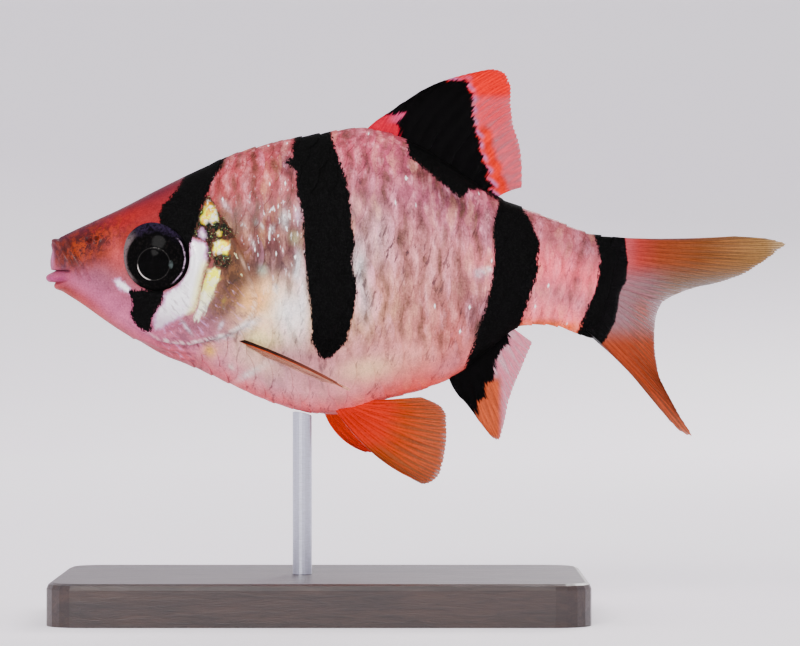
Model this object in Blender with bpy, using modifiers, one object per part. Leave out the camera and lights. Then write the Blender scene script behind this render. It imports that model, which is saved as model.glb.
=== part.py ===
"""A tiger barb at life size, swimming, held up on a plain display stand.

Metres, +Z up. The head points to -X and the fish's left side faces -Y. The origin lies on the
surface that the stand rests on, under the middle of the whole object.
"""

import math

import bmesh
import bpy
import numpy as np
from mathutils import Matrix

MM = 0.001  # sizes below are in millimetres and become metres as each mesh is made
GAP = 0.3  # free space between two pieces that touch

# ---- Body: profile lines seen from the side, as (x, z), and its width ----
SNOUT_X = -30.6
STEM_END_X = 16.3  # middle of the tail fin's root
TAIL_TIP_X = 30.8
BACK_LINE = (
    (-30.6, 30.9), (-29.6, 31.6), (-27.3, 32.75), (-24.8, 33.9), (-21.5, 35.6), (-18.1, 37.25),
    (-14.8, 38.65), (-11.5, 39.55), (-8.1, 40.2), (-4.6, 40.65), (-1.5, 39.95), (1.9, 38.05),
    (5.2, 35.85), (6.9, 34.85), (9.4, 33.8), (11.9, 32.85), (14.4, 31.9), (17.5, 31.5),
)
BELLY_LINE = (
    (-30.6, 28.0), (-29.8, 27.25), (-28.1, 26.1), (-24.8, 23.8), (-21.5, 21.95), (-18.1, 20.5),
    (-14.8, 18.95), (-11.5, 17.6), (-9.2, 17.0), (-7.0, 16.8), (-4.8, 17.2), (-3.0, 17.9),
    (0.2, 18.8), (1.9, 19.4), (3.5, 20.3), (5.2, 21.6), (6.9, 23.0), (8.1, 23.95), (10.0, 24.3),
    (11.9, 24.1), (13.5, 23.5), (15.2, 22.9),
)
HALF_WIDTH = (
    (-30.8, 1.3), (-29.0, 1.75), (-26.5, 2.5), (-24.5, 3.05), (-22.0, 3.6), (-19.0, 4.05),
    (-16.0, 4.4), (-9.8, 4.7), (-4.4, 4.55), (0.2, 4.0), (4.0, 3.3), (8.1, 2.5),
    (12.0, 1.75), (16.3, 1.2),
)
WIDEST_HEIGHT = ((-30.8, 0.5), (-22.0, 0.5), (-12.0, 0.46), (-3.0, 0.5), (8.0, 0.55), (16.3, 0.5))
BACK_RIDGE = ((-30.8, 1.0), (-22.0, 0.85), (-14.0, 1.0), (-4.4, 1.2), (8.0, 1.15), (16.3, 1.0))
BELLY_KEEL = ((-30.8, 1.0), (-20.0, 1.0), (-10.0, 0.95), (-2.0, 1.1), (8.0, 1.15), (16.3, 1.0))
SNOUT_ROUNDING = 0.9
STEM_ROUNDING = 0.9
RING_LEAN = 2.2  # how far the last ring's top lies behind its bottom
LEAN_START_X = 6.0
TAIL_SWING = 5.0  # sideways reach of the tail's tip, to the fish's right
SWING_START_X = -4.0
RINGS = 48
RING_SIDES = 32
RING_CROWDING = 1.4  # above 1 the rings stand closer on the head

# ---- Where the body is parted, as (x, z) ----
HEAD_END = (
    (-17.4, 44.0), (-16.2, 33.6), (-14.7, 30.9), (-13.7, 28.4), (-13.0, 26.3), (-13.2, 24.6),
    (-14.7, 23.2), (-17.0, 22.3), (-19.0, 21.0), (-19.6, 15.0),
)
HEAD_BLOCK = (*HEAD_END, (-36.0, 15.0), (-36.0, 44.0))
TRUNK_END = ((9.0, 44.0), (8.7, 15.0))
TRUNK_BLOCK = (*TRUNK_END, (-30.0, 15.0), (-30.0, 44.0))
STEM_BLOCK = ((9.3, 44.0), (9.0, 15.0), (25.0, 15.0), (25.0, 44.0))
JAW_BLOCK = ((-33.0, 28.85), (-28.8, 28.45), (-26.8, 24.6), (-27.0, 20.0), (-33.0, 20.0))

# ---- Head ----
EYE_X, EYE_Z = -21.7, 29.75
EYE_OPENING = 2.7
EYE_RADIUS = 3.05
EYE_DEPTH = 1.2  # half of the eyeball's flattened thickness
EYE_OUT = 2.85  # from the middle of the head to the eyeball's middle
EYE_TURN = math.radians(10)  # towards the snout
CORNEA_RADIUS = 1.7
CORNEA_RISE = 0.15
ORBIT_RIM = 0.26
NOSTRILS = ((-27.7, 31.4), (-26.85, 31.6))
NOSTRIL_RADIUS = 0.3
LIP_RADIUS = 0.4
MOUTH_CORNER_X = -28.9
MOUTH_HALF_WIDTH = 1.45
UPPER_LIP_Z, LOWER_LIP_Z = 29.4, 28.25
UPPER_LIP_X, LOWER_LIP_X = -30.2, -30.6
GILL_COVER = (
    (-17.3, 33.7), (-16.3, 33.4), (-14.8, 30.9), (-13.8, 28.4), (-13.1, 26.3), (-13.3, 24.7),
    (-14.8, 23.4), (-17.3, 22.8), (-19.8, 22.7), (-19.2, 24.0), (-18.3, 26.0), (-17.6, 28.0),
    (-17.3, 30.0), (-17.5, 32.0),
)
COVER_PROUD, COVER_DEPTH = 0.35, 0.7

# ---- Fins: thickness, and rays from a root line to a line of tips ----
MEMBRANE = 0.52
MEMBRANE_TIP = 0.3
RAY_RISE = 0.3  # added to the thickness at a ray, both faces together
RAY_HALF_SHARE = 0.2  # half a ray's width, as a share of the space between two rays
ROOT_SINK = 1.1
TIP_NOTCH = 0.06  # how far the membrane stays short of the ray tips, as a share of the ray
# Each path is (share, x, z), the share running from 0 at the first ray to 1 at the last.
DORSAL_ROOT = ((0, -4.2, 40.7), (0.33, -0.4, 39.5), (0.67, 3.2, 37.2), (1, 7.0, 34.8))
DORSAL_TIPS = (
    (0, -2.1, 41.5), (0.18, 1.4, 44.1), (0.36, 6.4, 45.7), (0.45, 7.6, 45.0), (0.64, 8.1, 41.8),
    (0.82, 7.8, 39.0), (1, 8.3, 35.7),
)
ANAL_ROOT = ((0, 2.9, 19.8), (0.5, 5.5, 21.8), (1, 8.1, 23.9))
ANAL_TIPS = (
    (0, 3.9, 18.0), (0.29, 6.6, 14.95), (0.43, 7.2, 16.2), (0.57, 7.6, 18.0), (0.8, 8.6, 20.5), (1, 9.6, 22.8),
)
UPPER_LOBE_ROOT = ((0, 17.3, 31.6), (0.5, 16.9, 29.8), (1, 16.3, 27.7))
UPPER_LOBE_TIPS = (
    (0, 26.5, 31.55), (0.11, 30.7, 30.95), (0.22, 29.7, 29.95), (0.5, 26.2, 28.8), (0.8, 22.9, 27.8),
    (1, 20.9, 26.95),
)
LOWER_LOBE_ROOT = ((0, 16.3, 27.3), (0.5, 15.9, 25.4), (1, 15.2, 23.3))
LOWER_LOBE_TIPS = (
    (0, 20.8, 26.5), (0.25, 20.2, 24.1), (0.5, 20.5, 21.2), (0.75, 21.6, 17.9), (0.89, 22.9, 14.9), (1, 20.3, 17.6),
)
DORSAL_RAYS, ANAL_RAYS, LOBE_RAYS, PELVIC_RAYS, PECTORAL_RAYS = 12, 8, 10, 8, 11
# The paired fins are in all three directions, as (share, x, y, z).
PELVIC_ROOT_LEFT = ((0, -6.6, -1.2, 17.3), (0.5, -5.5, -1.2, 17.45), (1, -4.4, -0.9, 17.9))
PELVIC_TIPS_LEFT = (
    (0, -0.2, -3.6, 11.45), (0.1, 0.55, -3.6, 11.15), (0.22, 1.6, -3.55, 11.65), (0.4, 2.2, -3.2, 13.4),
    (0.62, 2.45, -2.8, 15.75), (0.8, 2.25, -2.5, 17.15), (0.92, 1.5, -2.2, 17.8), (1, 0.3, -1.9, 18.3),
)
PELVIC_ROOT_RIGHT = ((0, -7.6, 1.2, 17.3), (0.5, -6.6, 1.2, 17.35), (1, -5.5, 0.95, 17.6))
PELVIC_TIPS_RIGHT = (
    (0, -4.3, 5.6, 13.6), (0.2, -3.3, 5.6, 13.4), (0.45, -2.0, 5.3, 13.9), (0.7, -1.1, 4.7, 14.9),
    (0.86, -0.8, 4.0, 15.8), (1, -0.9, 3.3, 16.6),
)
PECTORAL_ROOT_LEFT = ((0, -14.8, -3.2, 22.8), (0.5, -14.5, -3.1, 22.5), (1, -14.1, -3.0, 22.2))
PECTORAL_TIPS_LEFT = (
    (0, -6.8, -8.8, 19.6), (0.2, -5.9, -8.2, 19.2), (0.45, -5.6, -7.3, 19.0), (0.7, -6.0, -6.3, 19.1),
    (0.86, -6.8, -5.6, 19.35), (1, -7.9, -5.1, 19.75),
)

# ---- Stand ----
BASE_SIZE = (44.0, 28.0, 3.5)
BASE_X = -8.0
BASE_CORNER = 3.0
BASE_CHAMFER = 0.5
ROD_X = -9.6
ROD_RADIUS = 0.8

COLOURS = {  # base colour, roughness, metallic
    "skin": ((0.62, 0.42, 0.38, 1), 0.35, 0.1),
    "gill_silver": ((0.75, 0.66, 0.55, 1), 0.25, 0.4),
    "eye": ((0.012, 0.012, 0.012, 1), 0.1, 0.0),
    "fin_black": ((0.02, 0.015, 0.018, 1), 0.5, 0.0),
    "fin_red": ((0.75, 0.12, 0.03, 1), 0.45, 0.0),
    "fin_orange": ((0.7, 0.22, 0.05, 1), 0.45, 0.0),
    "fin_clear": ((0.75, 0.62, 0.52, 1), 0.4, 0.0),
    "stand_wood": ((0.08, 0.045, 0.03, 1), 0.45, 0.0),
    "stand_steel": ((0.6, 0.6, 0.62, 1), 0.3, 1.0),
}


# ---- Curves ----
def smooth(points, at):
    """Values of the smooth line through points, whose first numbers rise, at the places given."""
    table = np.array(points, float)
    xs, ys = table[:, 0], table[:, 1:]
    slopes = np.gradient(ys, xs, axis=0)
    at = np.clip(np.atleast_1d(np.asarray(at, float)), xs[0], xs[-1])
    left = np.clip(np.searchsorted(xs, at) - 1, 0, len(xs) - 2)
    width = (xs[left + 1] - xs[left])[:, None]
    t = (at - xs[left])[:, None] / width
    found = (
        (2 * t**3 - 3 * t**2 + 1) * ys[left]
        + (t**3 - 2 * t**2 + t) * width * slopes[left]
        + (3 * t**2 - 2 * t**3) * ys[left + 1]
        + (t**3 - t**2) * width * slopes[left + 1]
    )
    return found[:, 0] if ys.shape[1] == 1 else found


def rounded(share):
    """Rises from 0 to 1 as a quarter circle does."""
    return np.sqrt(1 - (1 - np.clip(share, 0, 1)) ** 2)


def swing(x):
    """How far the body's middle plane lies to the fish's right at x."""
    share = np.clip((x - SWING_START_X) / (TAIL_TIP_X - SWING_START_X), 0, 1.2)
    return TAIL_SWING * share**2


def on_middle(path):
    """A side-view path of (share, x, z) laid on the body's bent middle plane."""
    flat = np.array(path, float)
    return np.column_stack([flat[:, :2], swing(flat[:, 1]), flat[:, 2]])


# ---- Mesh helpers ----
def linked(name, mesh, home):
    made = bpy.data.objects.new(name, mesh)
    home.objects.link(made)
    return made


def from_bmesh(name, bm, home):
    """Turns millimetres into metres and makes the object."""
    bmesh.ops.scale(bm, vec=(MM, MM, MM), verts=bm.verts)
    mesh = bpy.data.meshes.new(name)
    bm.to_mesh(mesh)
    bm.free()
    return linked(name, mesh, home)


def wrapped_grid(name, columns, rows, place, home, closed):
    """A grid whose vertices are put where place(u, v) says, with u and v arrays from 0 to 1."""
    bm = bmesh.new()
    bmesh.ops.create_grid(bm, x_segments=columns, y_segments=rows, size=0.5)
    flat = np.array([v.co[:2] for v in bm.verts]) + 0.5
    for vert, point in zip(bm.verts, place(flat[:, 0], flat[:, 1])):
        vert.co = point
    if closed:
        bmesh.ops.remove_doubles(bm, verts=bm.verts, dist=0.001)
        bmesh.ops.dissolve_degenerate(bm, edges=bm.edges, dist=0.001)
        bmesh.ops.recalc_face_normals(bm, faces=bm.faces)
    return from_bmesh(name, bm, home)


def evaluated_mesh(obj):
    graph = bpy.context.evaluated_depsgraph_get()
    return bpy.data.meshes.new_from_object(obj.evaluated_get(graph), depsgraph=graph)


def applied(obj):
    """Bakes the object's modifiers into its mesh."""
    bpy.context.view_layer.update()
    mesh = evaluated_mesh(obj)
    old = obj.data
    obj.modifiers.clear()
    obj.data = mesh
    bpy.data.meshes.remove(old)
    return obj


def keep_largest(obj):
    """Drops every loose surface but the one with the most points."""
    bm = bmesh.new()
    bm.from_mesh(obj.data)
    unseen, islands = set(bm.verts), []
    while unseen:
        front = [unseen.pop()]
        island = set(front)
        while front:
            vert = front.pop()
            fresh = {edge.other_vert(vert) for edge in vert.link_edges} & unseen
            unseen -= fresh
            island |= fresh
            front.extend(fresh)
        islands.append(island)
    islands.sort(key=len)
    spare = [v for island in islands[:-1] for v in island]
    bmesh.ops.delete(bm, geom=spare, context="VERTS")
    bm.to_mesh(obj.data)
    bm.free()
    return obj


def boolean(obj, others, operation):
    """Joins, cuts or crosses obj with closed meshes, which are then removed."""
    tools = bpy.data.collections.new("tools")
    bpy.context.scene.collection.children.link(tools)
    for other in others:
        for home in list(other.users_collection):
            home.objects.unlink(other)
        tools.objects.link(other)
    cut = obj.modifiers.new(operation.lower(), "BOOLEAN")
    cut.operation = operation
    cut.operand_type = "COLLECTION"
    cut.collection = tools
    cut.solver = "MANIFOLD"
    applied(obj)
    for other in others:
        bpy.data.objects.remove(other)
    bpy.data.collections.remove(tools)
    return keep_largest(obj)


def copied(obj, name, home):
    return linked(name, obj.data.copy(), home)


def grown(obj, by, name, home):
    """A copy whose surface lies further out, or further in where by is negative."""
    made = copied(obj, name, home)
    normals = [v.normal.copy() for v in made.data.vertices]
    for vert, normal in zip(made.data.vertices, normals):
        vert.co += normal * (by * MM)
    return made


def prism(name, outline, home, low_y=-20.0, high_y=20.0):
    """A side-view outline, as (x, z), carried straight across from low_y to high_y."""
    bm = bmesh.new()
    front = [bm.verts.new((x, low_y, z)) for x, z in outline]
    face = bm.faces.new(front)
    pushed = bmesh.ops.extrude_face_region(bm, geom=[face])["geom"]
    moved = [v for v in pushed if isinstance(v, bmesh.types.BMVert)]
    bmesh.ops.translate(bm, verts=moved, vec=(0, high_y - low_y, 0))
    bmesh.ops.recalc_face_normals(bm, faces=bm.faces)
    return from_bmesh(name, bm, home)


def widened(outline, by):
    """An outline pushed out on all sides by the same distance."""
    flat = np.array(outline, float)
    ahead, behind = np.roll(flat, -1, axis=0), np.roll(flat, 1, axis=0)
    area = np.sum(flat[:, 0] * ahead[:, 1] - ahead[:, 0] * flat[:, 1])
    turn = 1 if area > 0 else -1
    side = ahead - behind
    outward = np.column_stack([side[:, 1], -side[:, 0]]) * turn
    return flat + by * outward / np.linalg.norm(outward, axis=1)[:, None]


def ball(name, centre, radii, turn, home, segments=20, rings=10):
    """An ellipsoid; turn is its angle about the upright axis."""
    bm = bmesh.new()
    bmesh.ops.create_uvsphere(bm, u_segments=segments, v_segments=rings, radius=1.0)
    bmesh.ops.rotate(bm, verts=bm.verts, matrix=Matrix.Rotation(math.pi / 2, 3, "X"))
    bmesh.ops.scale(bm, vec=radii, verts=bm.verts)
    bmesh.ops.rotate(bm, verts=bm.verts, matrix=Matrix.Rotation(turn, 3, "Z"))
    bmesh.ops.translate(bm, verts=bm.verts, vec=centre)
    return from_bmesh(name, bm, home)


def tube(name, points, radius, home):
    """A round bar with closed ends along a path, as a mesh."""
    curve = bpy.data.curves.new(name, "CURVE")
    curve.dimensions = "3D"
    curve.bevel_depth = radius * MM
    curve.bevel_resolution = 2
    curve.use_fill_caps = True
    spline = curve.splines.new("POLY")
    spline.points.add(len(points) - 1)
    for spot, point in zip(spline.points, points):
        spot.co = (*(float(n) * MM for n in point), 1)
    guide = linked(name + "_line", curve, home)
    bpy.context.view_layer.update()
    made = linked(name, evaluated_mesh(guide), home)
    bpy.data.objects.remove(guide)
    bm = bmesh.new()
    bm.from_mesh(made.data)
    bmesh.ops.remove_doubles(bm, verts=bm.verts, dist=0.001 * MM)
    bmesh.ops.recalc_face_normals(bm, faces=bm.faces)
    bm.to_mesh(made.data)
    bm.free()
    return made


# ---- Body ----
def body_place(u, v):
    """Points of the whole body: u runs from snout to tail fin root, v once round from the back."""
    s = SNOUT_X + (STEM_END_X - SNOUT_X) * u**RING_CROWDING
    lean_share = np.clip((s - LEAN_START_X) / (STEM_END_X - LEAN_START_X), 0, 1)
    lean = RING_LEAN * lean_share**2 * (3 - 2 * lean_share)
    top_x, bottom_x = s + lean / 2, s - lean / 2
    top_z, bottom_z = smooth(BACK_LINE, top_x), smooth(BELLY_LINE, bottom_x)
    snout = rounded((s - SNOUT_X) / SNOUT_ROUNDING)
    stem = rounded((STEM_END_X - s) / STEM_ROUNDING)
    middle_z = (top_z + bottom_z) / 2
    top_z = middle_z + (top_z - middle_z) * snout
    bottom_z = middle_z + (bottom_z - middle_z) * snout
    width = smooth(HALF_WIDTH, s) * snout * stem
    widest = smooth(WIDEST_HEIGHT, s)
    angle = 2 * math.pi * v
    cosine, sine = np.cos(angle), np.sin(angle)
    height = np.where(cosine > 0, widest + (1 - widest) * cosine, widest + widest * cosine)
    power = np.where(cosine > 0, smooth(BACK_RIDGE, s), smooth(BELLY_KEEL, s))
    x = bottom_x + (top_x - bottom_x) * height
    z = bottom_z + (top_z - bottom_z) * height
    y = swing(x) - width * np.sign(sine) * np.abs(sine) ** power
    return np.column_stack([x, y, z])


def part_head(body, inner, home, tools):
    """The head up to the gill opening, with orbits, nostrils, upper lip and the gill recesses."""
    head = boolean(copied(body, "head", home), [prism("front", HEAD_BLOCK, tools)], "INTERSECT")
    recesses = [gill_recess(inner, side, tools) for side in (-1, 1)]
    jaw_room = prism("jaw_room", widened(JAW_BLOCK, GAP), tools)
    boolean(head, [jaw_room, *recesses], "DIFFERENCE")
    raised = [orbit_rim(side, tools) for side in (-1, 1)]
    raised += [nostril(x, z, side, 1.5, tools) for x, z in NOSTRILS for side in (-1, 1)]
    raised.append(lip("upper_lip", UPPER_LIP_X, UPPER_LIP_Z, tools))
    boolean(head, raised, "UNION")
    pits = [eyeball("socket", side, GAP, tools) for side in (-1, 1)]
    pits += [nostril(x, z, side, 1.0, tools, out=0.25) for x, z in NOSTRILS for side in (-1, 1)]
    return boolean(head, pits, "DIFFERENCE")


def part_jaw(body, home, tools):
    jaw = boolean(copied(body, "lower_jaw", home), [prism("jaw", JAW_BLOCK, tools)], "INTERSECT")
    return boolean(jaw, [lip("lower_lip", LOWER_LIP_X, LOWER_LIP_Z, tools)], "UNION")


def lip(name, front_x, z, home):
    """A lip from one corner of the mouth round the front to the other."""
    turns = np.linspace(-math.pi / 2, math.pi / 2, 11)
    x = MOUTH_CORNER_X + (front_x - MOUTH_CORNER_X) * np.cos(turns)
    y = MOUTH_HALF_WIDTH * np.sin(turns)
    return tube(name, np.column_stack([x, y, np.full_like(x, z)]), LIP_RADIUS, home)


def skin_y(x, z):
    """Half the head's width at a side-view point."""
    v = np.linspace(0.49, 0.01, 60)
    u = ((x - SNOUT_X) / (STEM_END_X - SNOUT_X)) ** (1 / RING_CROWDING)
    ring = body_place(np.full_like(v, u), v)
    return np.interp(z, ring[:, 2], np.abs(ring[:, 1]))


def nostril(x, z, side, swell, home, out=0.0):
    reach = NOSTRIL_RADIUS * swell
    centre = (x, side * (skin_y(x, z) - 0.1 + out), z)
    return ball("nostril", centre, (reach, NOSTRIL_RADIUS, reach), 0, home, 8, 6)


def eyeball(name, side, extra, home):
    """The flattened ball of one eye, or the room for it where extra is the gap."""
    radii = (EYE_RADIUS + extra, EYE_DEPTH + extra, EYE_RADIUS + extra)
    return ball(name, (EYE_X, side * EYE_OUT, EYE_Z), radii, side * EYE_TURN, home, 24, 12)


def orbit_rim(side, home):
    """The fold of skin round one eye: a ring laid on the head's side."""
    turns = np.linspace(0, 2 * math.pi, 25)[:-1]
    reach = EYE_OPENING + 1.1 * ORBIT_RIM
    xs, zs = EYE_X + reach * np.cos(turns), EYE_Z + reach * np.sin(turns)
    ys = [side * (skin_y(x, z) - 0.25 * ORBIT_RIM) for x, z in zip(xs, zs)]
    ring = np.column_stack([xs, ys, zs])
    across = np.array([0, side, 0])
    bm = bmesh.new()
    sides = 6
    loops = []
    for centre in ring:
        outward = centre - (EYE_X, centre[1], EYE_Z)
        outward /= np.linalg.norm(outward)
        angles = [2 * math.pi * n / sides for n in range(sides)]
        spokes = [1.3 * math.cos(a) * outward + math.sin(a) * across for a in angles]
        loops.append([bm.verts.new(centre + ORBIT_RIM * spoke) for spoke in spokes])
    for here, after in zip(loops, loops[1:] + loops[:1]):
        for n in range(sides):
            m = (n + 1) % sides
            bm.faces.new((here[n], here[m], after[m], after[n]))
    bmesh.ops.recalc_face_normals(bm, faces=bm.faces)
    return from_bmesh("orbit_rim", bm, home)


def part_eye(name, side, home, tools):
    """An eyeball with the cornea's rise on its outer face."""
    eye = eyeball(name, side, 0, home)
    depth = EYE_DEPTH - 0.4
    out = EYE_DEPTH + CORNEA_RISE - depth
    centre = (EYE_X - math.sin(EYE_TURN) * out, side * (EYE_OUT + math.cos(EYE_TURN) * out), EYE_Z)
    cornea = ball("cornea", centre, (CORNEA_RADIUS, depth, CORNEA_RADIUS), side * EYE_TURN, tools)
    return boolean(eye, [cornea], "UNION")


# ---- Gill covers ----
def gill_block(side, by, home):
    low, high = sorted((side * 0.6, side * 12.0))
    return prism("gill_block", widened(GILL_COVER, by), home, low, high)


def gill_recess(inner, side, home):
    recess = gill_block(side, GAP, home)
    return boolean(recess, [copied(inner["recess"], "core", home)], "DIFFERENCE")


def part_gill_cover(name, side, inner, home, tools):
    """The bony flap: a plate that follows the head's side and stands a little proud of it."""
    cover = gill_block(side, 0, home)
    cover.name = name
    boolean(cover, [copied(inner["outside"], "outside", tools)], "INTERSECT")
    return boolean(cover, [copied(inner["cover"], "core", tools)], "DIFFERENCE")


# ---- Fins ----
def fin(name, root, tips, count, clear, home, bow=(0, 0, 0), upright=False):
    """A membrane with raised rays, cut clear of the body.

    root and tips are paths; ray k runs from one to the other and bows by a vector that is
    full on the first ray and fades to none on the last.
    """
    root, tips = np.array(root, float), np.array(tips, float)
    if upright:
        root, tips = on_middle(root), on_middle(tips)
    half = RAY_HALF_SHARE / (count - 1)
    rays = np.linspace(0, 1, count)
    shares = np.unique(np.clip(np.concatenate([rays - half, rays, rays + half]), 0, 1))
    is_ray = np.min(np.abs(shares[:, None] - rays[None, :]), axis=1) < 1e-9
    rows = 7

    def place(u, v):
        column = np.rint(u * (len(shares) - 1)).astype(int)
        share = shares[column]
        start, end = smooth(root, share), smooth(tips, share)
        length = np.linalg.norm(end - start, axis=1)[:, None]
        start = start - (end - start) / length * ROOT_SINK
        notch = np.where(is_ray[column], 0, TIP_NOTCH)
        run = (v * (1 - notch))[:, None]
        arch = (4 * run * (1 - run)) * (1 - share)[:, None] * np.array(bow)
        return start + (end - start) * run + arch

    blade = wrapped_grid(name, len(shares) - 1, rows, place, home, closed=False)
    thickness = blade.vertex_groups.new(name="thickness")
    most = MEMBRANE + RAY_RISE
    for vert in blade.data.vertices:
        column, row = vert.index % len(shares), vert.index // len(shares)
        taper = 1 - (row / rows) ** 3
        wanted = MEMBRANE_TIP + (MEMBRANE - MEMBRANE_TIP) * taper
        wanted += RAY_RISE * taper if is_ray[column] else 0
        thickness.add([vert.index], wanted / most, "REPLACE")
    split_alike(blade)
    shell = blade.modifiers.new("thickness", "SOLIDIFY")
    shell.thickness = most * MM
    shell.offset = 0
    shell.vertex_group = thickness.name
    applied(blade)
    blade.vertex_groups.clear()
    outward(blade)
    return boolean(blade, [copied(clear, "clearance", home)], "DIFFERENCE")


def split_alike(obj):
    bm = bmesh.new()
    bm.from_mesh(obj.data)
    bmesh.ops.triangulate(bm, faces=bm.faces, quad_method="FIXED")
    bm.to_mesh(obj.data)
    bm.free()


def outward(obj):
    """Turns a closed mesh right side out."""
    bm = bmesh.new()
    bm.from_mesh(obj.data)
    if bm.calc_volume(signed=True) < 0:
        bmesh.ops.reverse_faces(bm, faces=bm.faces)
    bm.to_mesh(obj.data)
    bm.free()


def mirrored(path):
    flat = np.array(path, float)
    flat[:, 2] *= -1
    return flat


def make_fins(clear, home):
    fins = [
        fin("fin_dorsal", DORSAL_ROOT, DORSAL_TIPS, DORSAL_RAYS, clear, home, (-0.3, 0, 0.6), True),
        fin("fin_anal", ANAL_ROOT, ANAL_TIPS, ANAL_RAYS, clear, home, (-0.2, 0, -0.3), True),
        fin("fin_tail_upper", UPPER_LOBE_ROOT, UPPER_LOBE_TIPS, LOBE_RAYS, clear, home, (0, 0, -0.15), True),
        fin("fin_tail_lower", LOWER_LOBE_ROOT, LOWER_LOBE_TIPS, LOBE_RAYS, clear, home, (0, 0, 0), True),
        fin("fin_pelvic_left", PELVIC_ROOT_LEFT, PELVIC_TIPS_LEFT, PELVIC_RAYS, clear, home, (-0.3, 0, -0.75)),
        fin("fin_pelvic_right", PELVIC_ROOT_RIGHT, PELVIC_TIPS_RIGHT, PELVIC_RAYS, clear, home, (-0.5, 0, -0.6)),
        fin("fin_pectoral_left", PECTORAL_ROOT_LEFT, PECTORAL_TIPS_LEFT, PECTORAL_RAYS, clear, home),
        fin(
            "fin_pectoral_right", mirrored(PECTORAL_ROOT_LEFT), mirrored(PECTORAL_TIPS_LEFT),
            PECTORAL_RAYS, clear, home,
        ),
    ]
    return fins


# ---- Stand ----
def stand_base(home):
    bm = bmesh.new()
    bmesh.ops.create_cube(bm, size=1.0)
    bmesh.ops.scale(bm, vec=BASE_SIZE, verts=bm.verts)
    bmesh.ops.translate(bm, verts=bm.verts, vec=(BASE_X, 0, BASE_SIZE[2] / 2))
    upright = [e for e in bm.edges if abs(e.verts[0].co.z - e.verts[1].co.z) > 1]
    bmesh.ops.bevel(bm, geom=upright, offset=BASE_CORNER, segments=5, profile=0.5, affect="EDGES")
    rim = [e for e in bm.edges if all(v.co.z > BASE_SIZE[2] - 0.01 for v in e.verts)]
    bmesh.ops.bevel(bm, geom=rim, offset=BASE_CHAMFER, segments=2, profile=0.5, affect="EDGES")
    return from_bmesh("stand_base", bm, home)


def stand_rod(clear, home):
    """An upright rod whose top is hollowed to the belly it carries."""
    low, high = BASE_SIZE[2] + 0.02, 24.0
    bm = bmesh.new()
    bmesh.ops.create_cone(
        bm, cap_ends=True, segments=20, radius1=ROD_RADIUS, radius2=ROD_RADIUS, depth=high - low
    )
    bmesh.ops.translate(bm, verts=bm.verts, vec=(ROD_X, 0, (low + high) / 2))
    rod = from_bmesh("stand_rod", bm, home)
    return boolean(rod, [copied(clear, "clearance", home)], "DIFFERENCE")


# ---- Finishes ----
def finish(name):
    colour, roughness, metallic = COLOURS[name]
    made = bpy.data.materials.new(name)
    made.use_nodes = True
    shader = made.node_tree.nodes["Principled BSDF"]
    shader.inputs["Base Color"].default_value = colour
    shader.inputs["Roughness"].default_value = roughness
    shader.inputs["Metallic"].default_value = metallic
    made.diffuse_color = colour
    return made


FINISH_OF = {
    "head": "skin", "lower_jaw": "skin", "trunk": "skin", "tail_stem": "skin",
    "gill_cover_left": "gill_silver", "gill_cover_right": "gill_silver",
    "eye_left": "eye", "eye_right": "eye",
    "fin_dorsal": "fin_black", "fin_anal": "fin_black",
    "fin_tail_upper": "fin_orange", "fin_tail_lower": "fin_orange",
    "fin_pelvic_left": "fin_red", "fin_pelvic_right": "fin_red",
    "fin_pectoral_left": "fin_clear", "fin_pectoral_right": "fin_clear",
    "stand_base": "stand_wood", "stand_rod": "stand_steel",
}


def main():
    for obj in list(bpy.data.objects):
        bpy.data.objects.remove(obj)
    home = bpy.data.collections.new("tiger_barb")
    tools = bpy.data.collections.new("cutters")
    for collection in (home, tools):
        bpy.context.scene.collection.children.link(collection)

    body = wrapped_grid("whole_body", RINGS, RING_SIDES, body_place, tools, closed=True)
    inner = {
        "recess": grown(body, -COVER_DEPTH - GAP, "inner_recess", tools),
        "cover": grown(body, -COVER_DEPTH, "inner_cover", tools),
        "outside": grown(body, COVER_PROUD, "outside", tools),
    }
    clear = grown(body, GAP, "clearance", tools)

    part_head(body, inner, home, tools)
    part_jaw(body, home, tools)
    trunk = boolean(copied(body, "trunk", home), [prism("trunk_block", TRUNK_BLOCK, tools)], "INTERSECT")
    boolean(trunk, [prism("head_room", widened(HEAD_BLOCK, GAP), tools)], "DIFFERENCE")
    boolean(copied(body, "tail_stem", home), [prism("stem_block", STEM_BLOCK, tools)], "INTERSECT")
    for side, word in ((-1, "left"), (1, "right")):
        part_gill_cover(f"gill_cover_{word}", side, inner, home, tools)
        part_eye(f"eye_{word}", side, home, tools)
    make_fins(clear, home)
    stand_base(home)
    stand_rod(clear, home)

    for spare in list(tools.objects):
        bpy.data.objects.remove(spare)
    finishes = {name: finish(name) for name in COLOURS}
    for node, name in FINISH_OF.items():
        mesh = bpy.data.objects[node].data
        mesh.materials.clear()
        mesh.materials.append(finishes[name])
        mesh.shade_smooth()
        mesh.set_sharp_from_angle(angle=math.radians(35))


main()
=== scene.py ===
"""Tiger barb on a display stand: skin, scales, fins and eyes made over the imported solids.

Lengths are in millimetres. The head points along -X and the fish's left side faces -Y.
"""
import math
from types import SimpleNamespace

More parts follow.
